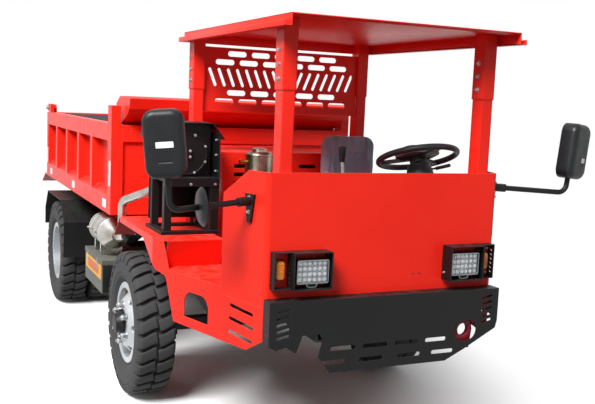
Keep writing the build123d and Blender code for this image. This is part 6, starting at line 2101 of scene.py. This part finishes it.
    def fuel_cap(self) -> None:
        """Ribbed cap on the tank's filler."""
        body = lathe("cap", self.filler_cap, self.filler, UP, 48)
        grip = block("grip", Vector((42, -3, 3)) * MM, Vector((46.5, 3, 21)) * MM, 1)
        turns = [2 * math.pi * i / self.grips for i in range(self.grips)]
        stand = Matrix.Translation(self.filler)
        grips = spread("grips", grip, [stand @ Matrix.Rotation(turn, 4, "Z") for turn in turns])
        dress(joined("fuel_cap", [body, grips]), BLACK_PLASTIC)


# Bed and body
@dataclass
class Roof:
    """Canopy roof: folded sheet with side gutters, its front lip bent back below."""

    half: float = 579.0
    sheet: float = 5.0
    edge: float = 1.5
    gutter_height: float = 24.0
    # Front flange: how far it runs back and down
    lip: Pair = (18.0, 12.0)

    def build(self) -> None:
        """Make the sheet, skirts, gutters and lip as one piece."""
        low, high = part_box("roof")
        wall, side = self.sheet * MM, self.half * MM
        far = Vector((side, high.y, high.z))
        top = block("top", Vector((-side, low.y, high.z - wall)), far, self.edge)
        skirt = block("skirt", Vector((side - wall, low.y, low.z)), far, self.edge)
        rear = block("rear", Vector((-side, high.y - wall, low.z)), far, self.edge)
        start = Vector((wall - side, low.y, high.z))
        bend = Vector((0, self.lip[0], -self.lip[1])) * MM
        thick = REAR * wall
        lip = plate("lip", [start, start + bend, start + bend + thick, start + thick],
                    LEFT * 2 * (side - wall), 1.2)
        rim = low.z + self.gutter_height * MM
        section = ((side - wall, low.z), (high.x, low.z), (high.x, rim), (high.x - wall, rim),
                   (high.x - wall, low.z + wall), (side - wall, low.z + wall))
        gutter = plate("gutter", [Vector((x, low.y, z)) for x, z in section], REAR * (high.y - low.y), 1)
        sides = [skirt, mirrored(skirt, "skirt.right"), gutter, mirrored(gutter, "gutter.right")]
        dress(joined("canopy_roof", [top, rear, lip, *sides]), RED_ENAMEL, "roof")


@dataclass
class BedTrim:
    """Reflective tape, dark lining and hinge nuts of the tipping bed."""

    half: float = 835.0
    wall: float = 75.0
    lining: float = 2.5
    # Space of the lining: stations, floor's top, sides' foot and top
    lining_run: Pair = (2040.0, 4668.0)
    floor_top: float = 935.2
    lining_side: Pair = (941.0, 1490.0)
    gate_face: float = 4676.0
    lining_gate: Pair = (952.0, 1486.0)
    # Tapes along the side's foot: middles, half length, heights; upright ones: stations, heights
    foot_tapes: tuple[float, ...] = (2168.0, 3302.0, 4414.0)
    tape_half: float = 55.0
    tape_heights: Pair = (952.0, 1006.0)
    upright_tapes: tuple[tuple[float, float, float, float], ...] = (
        (1995.0, 2042.0, 1104.0, 1262.0), (4612.0, 4658.0, 1040.0, 1180.0))
    # Tailgate's hinge nut: in from the bed's side, station and height, across the flats and height
    hinge_inset: float = 15.0
    hinge: Pair = (4715.0, 1537.0)
    hinge_nut: Pair = (34.0, 14.0)

    def build(self) -> None:
        """Make the tapes, the lining and the nuts."""
        places = [(middle - self.tape_half, middle + self.tape_half, *self.tape_heights)
                  for middle in self.foot_tapes]
        tapes = []
        for front, rear, bottom, top in [*places, *self.upright_tapes]:
            strip = block("tape", at(self.half - 0.2, front, bottom), at(self.half + 0.8, rear, top))
            round_corners(strip, 0, 3, 3)
            tapes.append(strip)
        dress(both_sides(joined("tapes", tapes), "reflective_tapes"), WHITE_TAPE, body="bed")
        inner = self.half - self.wall
        start, end = self.lining_run
        foot, top = self.lining_side
        side = block("side", at(inner - self.lining, start, foot), at(inner - 0.2, end, top), 0.6, 1)
        floor = block("floor", at(6 - inner, start, self.floor_top),
                      at(inner - 6, end, self.floor_top + self.lining), 0.6, 1)
        dress(joined("bed_lining", [side, mirrored(side, "side.right"), floor]), BED_LINING, body="bed")
        foot, top = self.lining_gate
        gate = block("gate_lining", at(14 - inner, self.gate_face - self.lining, foot),
                     at(inner - 14, self.gate_face - 0.2, top), 0.6, 1)
        dress(gate, BED_LINING, body="tailgate")
        hinge = at(self.half - self.hinge_inset, *self.hinge)
        nut = spread("nut", hex_bolt(*self.hinge_nut), [facing(hinge, LEFT, 10)])
        dress(both_sides(nut, "gate_hinge_nuts"), ZINC, body="bed")


@dataclass
class BodyBolts:
    """Fasteners of the canopy, mirrors and panel, and the cap on the tub's side."""

    post_bolt: Pair = (16.0, 9.0)
    post_faces: Pair = (483.0, 549.0)
    post_stations: Pair = (47.0, 1279.0)
    post_heights: tuple[float, ...] = (1776.0, 1838.0, 1900.0)
    # The tub's side: half width at the front, and how much it widens for each length
    side_start: float = 598.0
    side_taper: float = 0.304
    # Mirrors' feet: side, station and height; bolts from that height down; foot plate's face
    feet: tuple[tuple[int, float, float], ...] = ((1, 60.0, 1308.0), (-1, 107.0, 1248.0))
    foot_drops: Pair = (-14.0, 48.0)
    foot_face: float = 12.2
    foot_bolt: Pair = (13.0, 8.0)
    rivet: Profile = ((0, 0), (0, 4.5), (1.2, 4), (2, 2), (2.2, 0))
    rivets: Pair = (151.0, 184.0)
    rivet_height: float = 911.5
    # Cap: thickness, half length, half height; station and height of its middle
    cap: tuple[float, float, float] = (12.0, 26.0, 42.0)
    cap_corner: float = 24.0
    cap_place: Pair = (62.0, 1095.0)

    def build(self) -> None:
        """Make every set of fasteners and the cap."""
        inner, outer = self.post_faces
        places = [facing(at(x, station, z), out, 12) for x, out in ((inner, -LEFT), (outer, LEFT))
                  for station in self.post_stations for z in self.post_heights]
        dress(both_sides(spread("bolts", hex_bolt(*self.post_bolt), places), "canopy_bolts"), ZINC)
        feet = [facing(self.on_side(side, station, z - drop, self.foot_face), self.outward(side), 20)
                for side, station, z in self.feet for drop in self.foot_drops]
        dress(spread("mirror_foot_bolts", hex_bolt(*self.foot_bolt), feet), ZINC)
        rivet = lathe("rivet", self.rivet, Vector(), UP, 16)
        places = [facing(at(x, 0, self.rivet_height), -REAR) for x in self.rivets]
        dress(spread("panel_rivets", rivet, places), BLACK_PLASTIC)
        thick, long, tall = self.cap
        cap = block("side_cap", Vector((0, -long, -tall)) * MM, Vector((thick, long, tall)) * MM)
        round_corners(cap, 0, self.cap_corner, 6)
        turn = Matrix.Rotation(-math.atan(self.side_taper), 4, "Z")
        place = Matrix.Translation(self.on_side(1, *self.cap_place, 0)) @ turn
        dress(moved(rounded(cap, 5, 3, 40), place), GREY_PLASTIC)

    def outward(self, side: int) -> Vector:
        """Normal of the tub's tapered side."""
        return Vector((side, -self.side_taper, 0)).normalized()

    def on_side(self, side: int, station: float, z: float, out: float) -> Vector:
        """Point over the tub's tapered side.

        Args:
            side: 1 on the left, -1 on the right.
            station: Station of the point under it.
            z: Height.
            out: Distance from the side's face.

        Returns:
            The point in the frame.
        """
        size = math.hypot(1, self.side_taper)
        x = self.side_start + self.side_taper * station
        return at(side * (x + out / size), station - out * self.side_taper / size, z)


def main() -> None:
    """Build the scene piece by piece."""
    logging.basicConfig(level=logging.INFO, format="%(message)s")
    bpy.context.scene.view_settings.view_transform = "Standard"
    Studio().build()
    PhotoCamera().build()
    finish_nodes()
    for assembly in (Wheels(), HeadLamps(), TailLamps(), Mirrors(), DriverSeat(), Controls(), Machinery(),
                     Roof(), BedTrim(), BodyBolts()):
        LOG.info("%s", type(assembly).__name__)
        assembly.build()


if __name__ == "__main__":
    main()
